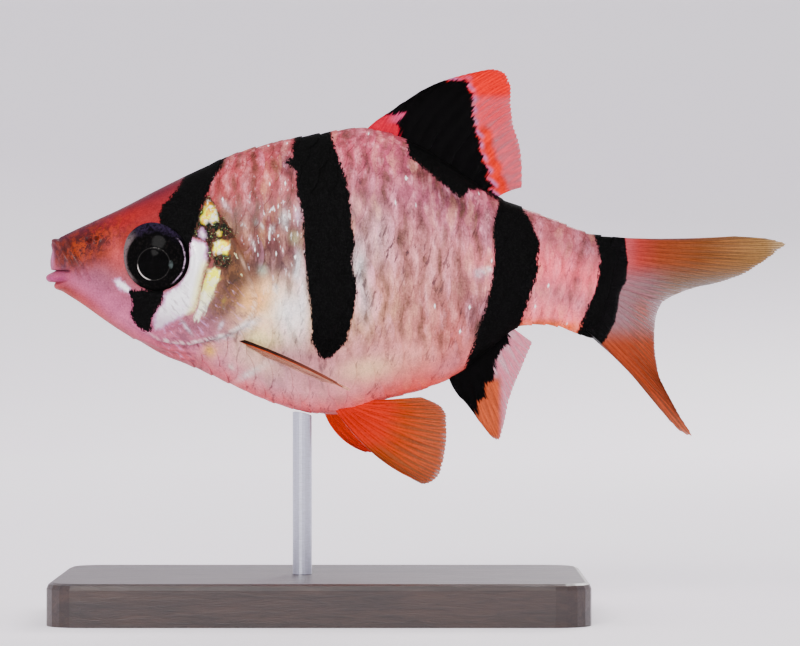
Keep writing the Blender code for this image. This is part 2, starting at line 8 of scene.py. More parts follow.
import bpy
import numpy as np
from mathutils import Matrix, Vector


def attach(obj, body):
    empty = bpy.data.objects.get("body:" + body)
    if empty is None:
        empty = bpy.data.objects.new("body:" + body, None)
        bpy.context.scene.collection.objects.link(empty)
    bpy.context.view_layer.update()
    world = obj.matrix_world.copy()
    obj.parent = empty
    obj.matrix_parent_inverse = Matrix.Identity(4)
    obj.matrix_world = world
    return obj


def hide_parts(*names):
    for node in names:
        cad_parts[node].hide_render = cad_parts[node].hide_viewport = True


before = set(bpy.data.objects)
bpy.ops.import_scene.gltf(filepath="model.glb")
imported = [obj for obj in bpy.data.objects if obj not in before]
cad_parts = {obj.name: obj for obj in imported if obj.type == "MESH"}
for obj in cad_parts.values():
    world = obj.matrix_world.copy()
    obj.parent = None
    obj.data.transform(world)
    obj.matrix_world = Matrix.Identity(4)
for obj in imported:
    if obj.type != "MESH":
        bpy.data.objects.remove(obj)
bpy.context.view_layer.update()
MM = 0.001
LUCK = np.random.default_rng(7)

# ---- Sizes of the body, in millimetres ----
SNOUT_X, STEM_END_X, TAIL_TIP_X = -30.6, 16.3, 30.8
BACK_LINE = (
    (-30.6, 30.9), (-29.6, 31.6), (-27.3, 32.75), (-24.8, 33.9), (-21.5, 35.6), (-18.1, 37.25),
    (-14.8, 38.65), (-11.5, 39.55), (-8.1, 40.2), (-4.6, 40.65), (-1.5, 39.95), (1.9, 38.05), (5.2, 35.85),
    (6.9, 34.85), (9.4, 33.8), (11.9, 32.85), (14.4, 31.9), (17.5, 31.5),
)
BELLY_LINE = (
    (-30.6, 28), (-29.8, 27.25), (-28.1, 26.1), (-24.8, 23.8), (-21.5, 21.95), (-18.1, 20.5),
    (-14.8, 18.95), (-11.5, 17.6), (-9.2, 17), (-7, 16.8), (-4.8, 17.2), (-3, 17.9), (0.2, 18.8),
    (1.9, 19.4), (3.5, 20.3), (5.2, 21.6), (6.9, 23), (8.1, 23.95), (10, 24.3), (11.9, 24.1), (13.5, 23.5),
    (15.2, 22.9),
)
HALF_WIDTH = (
    (-30.8, 1.3), (-29, 1.75), (-26.5, 2.5), (-24.5, 3.05), (-22, 3.6), (-19, 4.05), (-16, 4.4),
    (-9.8, 4.7), (-4.4, 4.55), (0.2, 4), (4, 3.3), (8.1, 2.5), (12, 1.75), (16.3, 1.2),
)
WIDEST_HEIGHT = ((-30.8, 0.5), (-22.0, 0.5), (-12.0, 0.46), (-3.0, 0.5), (8.0, 0.55), (16.3, 0.5))
BACK_RIDGE = ((-30.8, 1.0), (-22.0, 0.85), (-14.0, 1.0), (-4.4, 1.2), (8.0, 1.15), (16.3, 1.0))
BELLY_KEEL = ((-30.8, 1.0), (-20.0, 1.0), (-10.0, 0.95), (-2.0, 1.1), (8.0, 1.15), (16.3, 1.0))
SNOUT_ROUNDING = STEM_ROUNDING = 0.9
RING_LEAN, LEAN_START_X = 2.2, 6.0
TAIL_SWING, SWING_START_X = 5.0, -4.0
STATION_NUDGE, TURN_NUDGE = 0.03, 0.001

# ---- Skin ----
SKIN_RINGS, SKIN_SIDES = 400, 246
RING_STATIONS = (
    (0, -30.6), (0.03, -30.52), (0.08, -30.1), (0.2, -28.2), (0.42, -23.2), (0.66, -17), (0.78, -12),
    (0.97, 14.8), (0.99, 16.1), (1, 16.3),
)
SKIN_SINK, WELD_REACH = 0.12, 0.0005
HEAD_END = (
    (15, -19.6), (21, -19), (22.3, -17), (23.2, -14.7), (24.6, -13.2), (26.3, -13), (28.4, -13.7),
    (30.9, -14.7), (33.6, -16.2), (36, -17), (44, -17.8),
)
EYE_X, EYE_Z, EYE_OUT, EYE_TURN = -21.7, 29.75, 2.85, math.radians(10)
EYE_RADIUS, EYE_DEPTH, EYE_OPENING, EYE_SEGMENTS = 3.05, 1.2, 2.75, 96
SOCKET_DEPTH, SOCKET_FLOOR = 1.7, 2.3
EYE_RIM = ((0.06, 2.95, 0.2), (-0.02, 3.35, 0.2))
CORNEA_RADIUS, CORNEA_RISE = 1.9, 0.16
PUPIL_X, PUPIL_Z, PUPIL_RADIUS, PUPIL_RIM = -0.05, -0.47, 1.34, 0.03
NOSTRILS = ((-27.35, 31.3, 0.17), (-26.7, 31.5, 0.13))
GILL_EDGE = (
    (-18.12, 35.5), (-17.12, 34.42), (-15.79, 32.83), (-14.79, 30.83), (-13.88, 28.58), (-13.21, 26.5),
    (-13.29, 25.33), (-14.12, 24.17), (-15.12, 23.58), (-16.12, 23.17), (-17.46, 22.83), (-18.96, 22.54),
    (-20.46, 22.71), (-21.62, 22.96), (-23.12, 23.75), (-24.79, 24.83), (-27.5, 26.3),
)
COVER = GILL_EDGE + ((-29.5, 24.0), (-40.0, 24.0), (-40.0, 50.0), (-19.0, 50.0))
CHEEK_LINE = (
    (-17.79, 32.83), (-17.46, 31.33), (-17.29, 29.83), (-17.62, 28.67), (-17.88, 27.5), (-18.21, 26.33),
    (-18.79, 25.17), (-19.62, 24.25), (-20.62, 23.75),
)
JAW_FOLDS = (
    ((-30.1, 30.9), (-29.75, 30.0), (-29.5, 29.2)),
    ((-29.79, 31.33), (-29.29, 30.33), (-28.71, 29.25), (-28.04, 28.08)),
    ((-29.3, 31.5), (-28.5, 30.2), (-27.75, 28.9), (-27.3, 27.9)),
)
THROAT_FOLDS = (
    ((-23.5, 22.95), (-21.0, 21.95), (-18.5, 21.6), (-16.0, 21.7)),
    ((-17.6, 22.0), (-15.5, 22.4), (-13.6, 23.0), (-12.6, 24.2)),
)
# (lines, the ridges (height, distance, width) that run beside each of them)
FOLDS = (
    ((CHEEK_LINE,), ((0.05, 0.4, 0.22), (-0.13, 0, 0.14))),
    (JAW_FOLDS, ((0.03, 0.25, 0.16), (-0.13, 0, 0.12))),
    (THROAT_FOLDS, ((0.04, 0.3, 0.2), (-0.07, 0, 0.14))),
)
COVER_RISE, COVER_GROOVE = 0.34, 0.14
MOUTH_Z, MOUTH_SLOPE, LIP_RISE, LIP_RADIUS = 28.66, 0.02, 0.62, 0.38
# (height, level above the slit, width, the x where it begins to fade, and where it has gone)
MOUTH_FORMS = (
    (-0.12, -0.84, 0.08, -29.6, -28.6), (0.3, -1.15, 0.32, -29.9, -28.7),
    (0.46, 2.4, 0.42, -30.2, -29.5), (-0.42, 0.02, 0.1, -29.4, -28.7),
)

# ---- Scales ----
SCALE_STEP, SCALE_ROW, SCALE_LENGTH = 1.54, 2.07, 2.5
SCALE_RISE, SCALE_SINK, SCALE_WALL = 0.09, 0.1, 0.05
SCALE_OVERLAP, SCALE_BOW, STEM_TUCK = 1.03, 0.02, 0.12
# how far luck moves a scale along and across, and changes its breadth, height and tilt
SLIP_ALONG, SLIP_ACROSS, BREADTH_SPREAD, HEIGHT_SPREAD, TILT_SPREAD = 0.06, 0.05, 0.03, 0.012, 0.02
PLATE_CELLS = (12, 12)
FIRST_SCALE_X, LAST_SCALE_X, SCALE_ROWS = -20.0, STEM_END_X - 0.05, range(-8, 10)
TABLE_START_X, TABLE_STATIONS, TABLE_REACH, TABLE_STEP = -25.0, 140, 26.0, 0.2
TABLE_TURNS = (-0.2, 0.7, 600)
MAP_SHIFT, MAP_SPAN, MAP_PATCH = np.array([[21, 9], [39, 19], [0.030, 0.044]])
LATERAL_LINE = ((-24.0, 31.4), (-14.0, 30.2), (-4.0, 28.1), (6.0, 27.3), (16.3, 27.3))
CROWDING = ((-24.0, 0.9), (-14.0, 0.97), (-6.0, 1.0), (2.0, 1.0), (10.0, 0.86), (16.3, 0.76))

# ---- Markings, drawn on the side view ----
VIEW_POINT, VIEW_WIDTH, SENSOR_WIDTH = (-1.458, -350.0, 24.417), 66.6667, 36.0
BAR_EYE = (
    (-19.21, 37), (-17.71, 37.75), (-15.71, 38.6), (-16.38, 37.33), (-17.12, 36.08), (-17.6, 34.92),
    (-18.05, 33.83), (-18.35, 32.67), (-18.75, 31.6), (-19.1, 29.5), (-20.12, 30.5), (-21.04, 31.5),
    (-21.46, 32.5), (-21.54, 33.58), (-21.21, 34.33), (-20.46, 35.08), (-19.88, 35.83),
)
BAR_CHEEK = (
    (-24, 27.17), (-21.09, 27.33), (-21.17, 26.25), (-21.79, 25.42), (-22.06, 24.72), (-21.99, 23.9),
    (-22.62, 23.79), (-23.44, 24.32), (-23.93, 25.14), (-23.72, 25.83),
)
BAR_SHOULDER = (
    (-9.88, 41.33), (-7.38, 41.33), (-7.04, 39.67), (-6.54, 38.17), (-6, 36.75), (-5.66, 35.08),
    (-5.45, 32.58), (-5.22, 30.7), (-5.45, 29.6), (-5.32, 28.7), (-5.04, 27.9), (-5.02, 26.9),
    (-5.28, 25.5), (-5.55, 24.25), (-5.92, 22.92), (-6.8, 21.85), (-7.88, 21.25), (-8.46, 22),
    (-8.84, 23.2), (-8.85, 24.4), (-9.02, 26.33), (-9.3, 28.6), (-9.46, 30.92), (-9.62, 33.42),
    (-10.05, 35.3), (-10.12, 36.9), (-10.35, 37.4), (-11, 37.6), (-11.1, 37.95), (-10.4, 38.25),
    (-10.45, 39),
)
BAR_FLANK = (
    (6.88, 35.5), (8.54, 34.42), (9.4, 33), (10.26, 31.08), (10, 29.83), (10.16, 29.17), (9.83, 27.92),
    (9.42, 26.8), (9.05, 25.67), (8.62, 24.25), (7.95, 23.5), (7.42, 22.33), (6.92, 21), (6.2, 19.42),
    (5.54, 18), (5.04, 16.5), (3.71, 16.5), (3.46, 18), (3.62, 19.42), (3.98, 21), (4.55, 22.42),
    (5.02, 24), (5.68, 25.83), (6.18, 28), (6.42, 29.83), (6.3, 31.4), (6.32, 32.8), (6.6, 33.9),
)
BAR_STEM = (
    (14.38, 32.58), (16.85, 32.33), (17.02, 30.67), (17.2, 29.5), (17.12, 28), (16.56, 27), (16.4, 25.67),
    (16.16, 24.5), (15.54, 23.33), (14.96, 22.58), (13.21, 23.42), (13.88, 25), (14.54, 26.5), (14.96, 28),
    (15.21, 29.5), (14.96, 30.83),
)
BAR_BACK = (
    (-1.6, 43), (8.54, 38.83), (7.54, 34.5), (6.6, 34.6), (5.9, 35.2), (5.2, 35.5), (4.3, 35.5),
    (3.9, 34.9), (3.4, 34.85), (3, 35.2), (2.3, 35.75), (1.7, 36.3), (1.1, 36.8), (0.35, 37.35),
    (-0.3, 37.9), (-0.7, 38.2), (-0.85, 39), (-1.1, 40), (-1.5, 41.2),
)
BARS = (BAR_EYE, BAR_CHEEK, BAR_SHOULDER, BAR_FLANK, BAR_STEM, BAR_BACK)
SILVER_CHEEK = (
    (-18.96, 31.42), (-18.5, 31.38), (-18.05, 31.15), (-17.7, 31.08), (-17.55, 30.8), (-17.52, 29.42),
    (-17.9, 28.33), (-18.2, 26.67), (-18.54, 25.42), (-19.29, 25.14), (-20.4, 24.58), (-21.23, 24.11),
    (-21.79, 23.97), (-21.93, 24.75), (-21.79, 25.28), (-21.17, 26.11), (-21.12, 26.83), (-19.99, 27.5),
    (-19.29, 28.6), (-19.02, 29.7),
)
SILVER_TOP = (
    (-18.22, 32.08), (-17.98, 32.28), (-17.72, 32.12), (-17.58, 31.78), (-17.68, 31.48), (-17.95, 31.42),
    (-18.2, 31.68),
)
FLASH = ((-25.38, 28), (-24.82, 28.12), (-23.86, 27.3), (-24, 26.88), (-24.82, 27.22))
GOLD_TOP = (
    (-17.43, 34.67), (-17.02, 34.32), (-16.73, 33.7), (-16.57, 32.93), (-16.88, 32.86), (-17.08, 32.62),
    (-17.36, 32.93), (-17.64, 32.62), (-17.95, 32.66), (-18.12, 33.14), (-17.78, 33.56), (-17.8, 34.04),
    (-17.64, 34.46),
)
GOLD_MID = (
    (-16.94, 31.06), (-16.39, 31.33), (-15.69, 31.19), (-15.58, 30.78), (-15.83, 30.08), (-16.32, 30.22),
    (-16.88, 30.02), (-17.02, 30.5),
)
GOLD_DOT = ((-16.72, 31.95), (-16.5, 32.12), (-16.28, 31.95), (-16.32, 31.68), (-16.6, 31.62))
STREAK = (
    (-17.5, 28.97), (-16.88, 29.08), (-16.39, 28.77), (-16.46, 28), (-16.88, 27.03), (-17.3, 26.06),
    (-17.7, 25.2), (-18.13, 24.53), (-18.68, 24.8), (-18.27, 25.78), (-17.98, 27.17), (-17.78, 28.1),
)
UMBER_TOP = (
    (-19.1, 31.4), (-18.8, 32.75), (-18.3, 33.5), (-17.9, 34.3), (-17.6, 34.95), (-17.2, 34.95),
    (-16.8, 34.3), (-16.45, 33.4), (-15.9, 32.8), (-15.4, 32.3), (-15.2, 31.4), (-16.1, 31.3), (-17, 31.2),
    (-17.15, 29.4), (-17.35, 29.25), (-17.72, 28.3), (-17.95, 27.1), (-18.1, 27.1), (-17.85, 28.4),
    (-17.55, 29.4), (-17.55, 31.1), (-18.2, 31.3), (-18.6, 31.45),
)
UMBER_SPOT = (
    (-17.1, 30.1), (-16.3, 30.3), (-15.5, 30.1), (-15.45, 29.2), (-15.9, 28.8), (-16.5, 29.1),
    (-16.95, 29.2),
)
MOSAIC = (
    (-17.9, 33.7), (-15.8, 34.2), (-15.1, 32.3), (-14.8, 30.5), (-14.3, 28), (-14.8, 25.9), (-16.3, 24.8),
    (-17.8, 26.3), (-17.1, 28.8), (-17.1, 31.3),
)
# the outlines that a mesh's points are measured from, and the softer shades stored beside them
MARKS = {
    "ink": BARS, "silver": (SILVER_CHEEK, SILVER_TOP, FLASH), "streak": (STREAK,), "cover": (COVER,),
    "gold": (GOLD_TOP, GOLD_MID, GOLD_DOT), "umber": (UMBER_TOP, UMBER_SPOT),
}
SHADES = ("scaled", "margin", "mosaic", "rough", "spark", "fleck", "dusk")

# ---- Fins: (share, x, z), and (share, x, y, z) for the paired ones ----
ROOT_SINK, FIN_WAVE, EDGE_KNOTS = 1.1, 0.12, 400
MEMBRANE, RAY_HEIGHT, THICKEST, THICKNESS_STEPS = 0.1, 0.22, 0.34, 300
RAY_WIDTH, RAY_NARROWING, FORK_SPREAD, TWIG_SPREAD = 0.17, 0.105, 0.25, 0.125
DORSAL_ROOT = ((0, -4.0, 40.5), (0.33, -0.6, 39.6), (0.67, 3.0, 37.3), (1, 6.9, 34.8))
DORSAL_TIPS = (
    (0, -2.3, 41.9), (0.1, -1, 42.9), (0.2, 1.05, 44.15), (0.28, 2.7, 44.8), (0.36, 4.8, 45.35),
    (0.43, 6.45, 45.6), (0.5, 7.45, 45.15), (0.57, 7.8, 44.3), (0.68, 7.85, 42.6), (0.78, 8.05, 40.9),
    (0.86, 8.5, 39.4), (0.94, 8.7, 37.6), (1, 8.7, 35.7),
)
ANAL_ROOT = ((0, 2.9, 19.8), (0.5, 5.5, 21.8), (1, 8.1, 23.9))
ANAL_TIPS = (
    (0, 3.9, 18), (0.29, 6.75, 14.65), (0.43, 7.25, 16.1), (0.57, 7.65, 18), (0.8, 8.6, 20.5),
    (1, 9.6, 22.8),
)
UPPER_LOBE_ROOT = ((0, 17.3, 31.6), (0.5, 16.9, 29.8), (1, 16.3, 27.5))
UPPER_LOBE_TIPS = (
    (0, 26.5, 31.55), (0.06, 29.2, 31.45), (0.11, 30.6, 31.1), (0.2, 30, 30.4), (0.35, 28.7, 29.4),
    (0.5, 27, 28.4), (0.65, 25, 27.75), (0.8, 23, 27.3), (0.92, 21.4, 26.7), (1, 20.5, 26.2),
)
LOWER_LOBE_ROOT = ((0, 16.3, 27.5), (0.5, 15.8, 25.3), (1, 14.75, 23.05))
LOWER_LOBE_TIPS = (
    (0, 20.5, 26.2), (0.12, 20, 25.3), (0.25, 19.8, 24.2), (0.4, 19.75, 22.9), (0.52, 19.9, 21.4),
    (0.63, 20.2, 19.9), (0.75, 21.1, 18.1), (0.84, 22, 16.45), (0.9, 22.85, 14.95), (0.95, 21.6, 15.6),
    (1, 19.85, 17.75),
)
PELVIC_ROOT_LEFT = ((0, -6.6, -1.2, 17.3), (0.5, -5.5, -1.2, 17.45), (1, -4.4, -0.9, 17.9))
PELVIC_TIPS_LEFT = (
    (0, -0.2, -3.6, 11.45), (0.1, 0.55, -3.6, 11.15), (0.22, 1.6, -3.55, 11.65), (0.4, 2.2, -3.2, 13.4),
    (0.62, 2.45, -2.8, 15.75), (0.8, 2.25, -2.5, 17.15), (0.92, 1.5, -2.2, 17.8), (1, 0.3, -1.9, 18.3),
)
PELVIC_ROOT_RIGHT = ((0, -7.6, 1.2, 17.3), (0.5, -6.6, 1.2, 17.35), (1, -5.5, 0.95, 17.6))
PELVIC_TIPS_RIGHT = (
    (0, -4.3, 5.6, 13.6), (0.2, -3.3, 5.6, 13.4), (0.45, -2, 5.3, 13.9), (0.7, -1.1, 4.7, 14.9),
    (0.86, -0.8, 4, 15.8), (1, -0.9, 3.3, 16.6),
)
PECTORAL_ROOT = ((0, -15.55, -3.2, 23.2), (0.5, -15.25, -3.1, 22.95), (1, -14.95, -3.0, 22.7))
PECTORAL_TIPS = (
    (0, -6.6, -8.8, 19.45), (0.2, -5.7, -8.2, 19.05), (0.45, -5.4, -7.3, 18.9), (0.7, -6, -6.3, 19.1),
    (0.86, -6.8, -5.6, 19.35), (1, -7.9, -5.1, 19.75),
)
INK_DORSAL = (
    (-2.9, 42.6), (-1.2, 43.8), (0.6, 44.9), (1.7, 45.3), (2.46, 44.7), (3.1, 44.67), (4.2, 44.67),
    (4.2, 44.1), (4.46, 43.75), (4.7, 43.25), (4.54, 42.75), (4.7, 42.3), (4.6, 41.75), (4.8, 40.8),
    (4.9, 40.25), (5.2, 39.9), (5.2, 38.8), (5.46, 38.4), (5.6, 37.6), (6, 37.2), (5.8, 36.6), (6.1, 36.2),
    (6.4, 35.8), (6, 35.6), (6.46, 35.1), (6.96, 34.6), (6.9, 32), (-3, 37), (-1.6, 39.6), (-1.5, 40.7),
    (-1.9, 41), (-1.6, 41.3), (-1.1, 41.75), (-1, 41.95), (-1.5, 41.85), (-2, 41.75), (-2.6, 41.7),
    (-2.9, 41.8),
)
INK_ANAL = (
    (2.5, 22), (2.5, 18), (3.4, 17.2), (4.2, 16.3), (4.8, 15.9), (5, 16.9), (4.96, 17.7), (5.3, 18),
    (5.8, 18.15), (5.65, 19), (5.8, 19.35), (6.2, 19.5), (6.45, 20.1), (6.6, 21.3), (7, 22.1), (7.6, 22.6),
    (7.8, 23.4), (6.5, 25),
)

# ---- Studio ----
FLOOR_RADIUS, BEND_RADIUS, WALL_HEIGHT = 420.0, 1000.0, 500.0
ROOM_GLOW, ROOM_COLOUR = 0.45, (0.95, 0.95, 1.0, 1)
LAMP_AIM = (-2, 0, 28)
# (name, place, size, power, colour)
LAMPS = (
    ("key", (-150, -520, 290), 200, 2.7, (1.0, 0.98, 0.96)),
    ("back_key", (200, 520, 330), 260, 2.4, (1.0, 0.98, 0.96)),
    ("top", (40, 60, 620), 500, 1.2, (1.0, 1.0, 1.0)),
)


# ---- Curves and outlines ----
def smooth(points, at):
    """Values of the smooth line through points, whose first numbers rise, at the places given."""
    table = np.array(points, float)
    xs, ys = table[:, 0], table[:, 1:]
    slopes = np.gradient(ys, xs, axis=0)
    at = np.clip(np.atleast_1d(np.asarray(at, float)), xs[0], xs[-1])
    left = np.clip(np.searchsorted(xs, at) - 1, 0, len(xs) - 2)
    width = (xs[left + 1] - xs[left])[:, None]
    t = (at - xs[left])[:, None] / width
    found = (
        (2 * t**3 - 3 * t**2 + 1) * ys[left]
        + (t**3 - 2 * t**2 + t) * width * slopes[left]
        + (3 * t**2 - 2 * t**3) * ys[left + 1]
        + (t**3 - t**2) * width * slopes[left + 1]
    )
    return found[:, 0] if ys.shape[1] == 1 else found


def rounded(share):
    return np.sqrt(1 - (1 - np.clip(share, 0, 1)) ** 2)


def ease(value, low, high):
    """0 below low, 1 above high, and a smooth slope between."""
    share = np.clip((value - low) / (high - low), 0, 1)
    return share * share * (3 - 2 * share)


def hump(value, middle, width):
    return np.exp(-(((value - middle) / width) ** 2))


def beside(x, z, line, closed=False):
    """How far points are from a line of corners."""
    corners = list(line) + ([line[0]] if closed else [])
    best = np.full(x.shape, 1e9)
    for (ax, az), (bx, bz) in zip(corners, corners[1:]):
        ex, ez = bx - ax, bz - az
        t = np.clip(((x - ax) * ex + (z - az) * ez) / (ex * ex + ez * ez), 0, 1)
        best = np.minimum(best, np.hypot(x - ax - t * ex, z - az - t * ez))
    return best


def inside_by(x, z, outline):
    """How far inside a closed outline points are; outside it the number is negative."""
    within = np.zeros(x.shape, bool)
    for (ax, az), (bx, bz) in zip(outline, outline[1:] + outline[:1]):
        crosses = (az > z) != (bz > z)
        reach = ax + (z - az) * (bx - ax) / ((bz - az) or 1e-9)
        within ^= crosses & (x < reach)
    away = beside(x, z, outline, closed=True)
    return np.where(within, away, -away)


def inside_any(x, z, outlines):
    return np.max([inside_by(x, z, outline) for outline in outlines], axis=0)


# ---- The body's form ----
def swing(x):
    """How far the body's middle plane lies to the fish's right at x."""
    share = np.clip((x - SWING_START_X) / (TAIL_TIP_X - SWING_START_X), 0, 1.2)
    return TAIL_SWING * share**2


def body_point(s, v):
    """Points of the body at station s along it, v once round from the back by the left side."""
    lean_share = np.clip((s - LEAN_START_X) / (STEM_END_X - LEAN_START_X), 0, 1)
    lean = RING_LEAN * lean_share**2 * (3 - 2 * lean_share)
    top_x, bottom_x = s + lean / 2, s - lean / 2
    top_z, bottom_z = smooth(BACK_LINE, top_x), smooth(BELLY_LINE, bottom_x)
    snout = rounded((s - SNOUT_X) / SNOUT_ROUNDING)
    stem = rounded((STEM_END_X - s) / STEM_ROUNDING)
    middle_z = (top_z + bottom_z) / 2
    top_z = middle_z + (top_z - middle_z) * snout
    bottom_z = middle_z + (bottom_z - middle_z) * snout
    width = smooth(HALF_WIDTH, s) * snout * stem
    widest = smooth(WIDEST_HEIGHT, s)
    cosine, sine = np.cos(2 * math.pi * v), np.sin(2 * math.pi * v)
    height = np.where(cosine > 0, widest + (1 - widest) * cosine, widest + widest * cosine)
    power = np.where(cosine > 0, smooth(BACK_RIDGE, s), smooth(BELLY_KEEL, s))
    x = bottom_x + (top_x - bottom_x) * height
    z = bottom_z + (top_z - bottom_z) * height
    y = swing(x) - width * np.sign(sine) * np.abs(sine) ** power
    return np.column_stack([x, y, z])


def body_surface(s, v):
    """Points of the body and the way out from it at each."""
    low, high = np.maximum(s - STATION_NUDGE, SNOUT_X), np.minimum(s + STATION_NUDGE, STEM_END_X)
    along = body_point(high, v) - body_point(low, v)
    about = body_point(s, v + TURN_NUDGE) - body_point(s, v - TURN_NUDGE)
    out = np.cross(about, along)
    length = np.linalg.norm(out, axis=1)
    end = np.zeros_like(out)
    end[:, 0] = np.where(s < 0, -1, 1)
    flat = (length < 1e-7) | (s < SNOUT_X + 1e-6)
    out = np.where(flat[:, None], end, out / np.maximum(length, 1e-9)[:, None])
    return body_point(s, v), out


def seen_from_side(points, depth):
    """Where points fall on the side view, if they lie at these depths."""
    nearness = VIEW_POINT[1] / (VIEW_POINT[1] - depth)
    x = VIEW_POINT[0] + (points[:, 0] - VIEW_POINT[0]) * nearness
    z = VIEW_POINT[2] + (points[:, 2] - VIEW_POINT[2]) * nearness
    return x, z


def side_view(points):
    """Where points fall on the side view, with both flanks alike."""
    middle = swing(points[:, 0])
    return seen_from_side(points, middle - np.abs(points[:, 1] - middle))


def past_head(x, z):
    """How far behind the head's rear edge points of the side view lie."""
    return x - np.interp(z, *zip(*HEAD_END))


def ridges(away, shapes):
    """Low ridges and grooves beside a line, each (height, distance from it, width)."""
    return sum(height * hump(away, middle, width) for height, middle, width in shapes)


def mouth_relief(x, z):
    """The lips, the slit between them and the groove under them."""
    slit = z - (MOUTH_Z + MOUTH_SLOPE * (x - SNOUT_X))
    lower_lip = np.sqrt(np.clip(1 - ((slit + LIP_RADIUS) / LIP_RADIUS) ** 2, 0, 1))
    rise = LIP_RISE * lower_lip * (1 - ease(x, -30.2, -28.9))
    for height, level, width, start_x, end_x in MOUTH_FORMS:
        rise += height * hump(slit, level, width) * (1 - ease(x, start_x, end_x))
    return rise


def head_relief(x, z):
    """How far the skin stands out from the body's plain form, at points of the side view."""
    inside = inside_by(x, z, COVER)
    low_enough = (1 - 0.6 * ease(z, 26.5, 30.0)) * (1 - ease(z, 32.5, 35.0)) * ease(x, -26.0, -21.0)
    rise = COVER_RISE * ease(inside, 0, 0.16) * (1 - ease(inside, 0.7, 6.0)) * low_enough
    rise -= COVER_GROOVE * hump(inside, -0.14, 0.2) * low_enough
    for lines, shapes in FOLDS:
        for line in lines:
            rise += ridges(beside(x, z, line), shapes)
    from_eye = np.hypot(x - EYE_X, z - EYE_Z)
    rise -= SOCKET_DEPTH * (1 - ease(from_eye, SOCKET_FLOOR, EYE_OPENING + 0.02))
    rise += ridges(from_eye, EYE_RIM)
    for nostril_x, nostril_z, radius in NOSTRILS:
        away = np.hypot(x - nostril_x, z - nostril_z)
        rise += ridges(away, ((0.08, radius * 1.9, 0.1), (-0.34, 0, radius)))
    return rise + mouth_relief(x, z)


# ---- Tones: how light the flesh is, from back to belly and from place to place, with painted light in them ----
FILM_STEPS = (
    (0, 0.001), (8, 0.0046), (16, 0.0085), (32, 0.0201), (48, 0.0369), (64, 0.059), (96, 0.1207),
    (128, 0.2166), (160, 0.4037), (192, 0.8794), (208, 1.4335), (224, 2.6308), (240, 5.8261), (255, 14),
)
FILM_IN = np.array([[0.5635, 0.3363, 0.1002], [0.1104, 0.7387, 0.1509], [0.0945, 0.1977, 0.7078]])
FILM_OUT = np.array([[1.858, -0.7259, -0.1321], [-0.2034, 1.3231, -0.1197], [-0.1921, -0.3036, 1.4957]])
STUDIO_LIGHT, STUDIO_GLOW = 1.95, 0.33
PITCH = (0.001, 0.001, 0.001, 1)


def tone(red, green, blue):
    """The pigment that looks like this screen colour once the studio's light and film have acted."""
    share = np.array([red, green, blue], float) / 255
    light = np.where(share > 0.04045, ((share + 0.055) / 1.055) ** 2.4, share / 12.92)
    light = np.maximum(np.linalg.solve(FILM_OUT, light), 0)
    step = np.where(light > 0.0031308, 1.055 * light ** (1 / 2.4) - 0.055, light * 12.92) * 255
    places, levels = np.array(FILM_STEPS).T
    seen = np.exp(np.interp(step, places, np.log(levels)))
    return np.clip(np.linalg.solve(FILM_IN, seen) / STUDIO_LIGHT, 0.002, 0.95)


# (share of the height from belly to back, red, green, blue)
SNOUT_TONES = (
    (0, 206, 112, 98), (0.14, 214, 158, 178), (0.34, 212, 156, 174), (0.5, 204, 130, 130),
    (0.64, 185, 80, 60), (0.85, 165, 60, 50), (1, 112, 56, 92),
)
CHEEK_TONES = (
    (0, 200, 122, 128), (0.08, 212, 156, 174), (0.25, 206, 150, 168), (0.45, 202, 142, 144),
    (0.7, 208, 92, 80), (0.88, 206, 86, 82), (1, 146, 55, 70),
)
NAPE_TONES = (
    (0, 226, 150, 150), (0.07, 214, 182, 184), (0.2, 208, 174, 176), (0.33, 232, 202, 184),
    (0.42, 216, 188, 168), (0.52, 150, 108, 104), (0.64, 180, 108, 106), (0.8, 200, 134, 134),
    (0.94, 206, 118, 122), (1, 196, 98, 104),
)
FLANK_TONES = (
    (0, 226, 124, 108), (0.05, 214, 132, 124), (0.15, 216, 176, 168), (0.3, 204, 156, 150),
    (0.45, 204, 160, 156), (0.6, 206, 162, 161), (0.78, 196, 136, 151), (0.93, 203, 127, 147),
    (1, 198, 104, 120),
)
STEM_TONES = (
    (0, 236, 150, 120), (0.08, 222, 152, 154), (0.3, 208, 150, 156), (0.55, 230, 154, 158),
    (0.8, 202, 140, 146), (1, 188, 112, 116),
)
TONE_STATIONS = (
    (-28.5, SNOUT_TONES), (-22.5, CHEEK_TONES), (-12.0, NAPE_TONES), (1.5, FLANK_TONES),
    (11.5, STEM_TONES),
)
# Painted light: how much the flesh is lightened from belly to back, most under the belly, to offset the
# weaker studio light there.
HEIGHT_SHADE_OFFSET = ((0, 1.6), (0.12, 1.24), (0.3, 1.0), (0.85, 0.98), (1, 1.06))
LENGTH_GAIN = ((-21, 0.6), (-14, 0.66), (-8, 0.76), (2, 0.84), (12, 0.94))
BACK_GAIN, PALEST = 0.92, 0.96
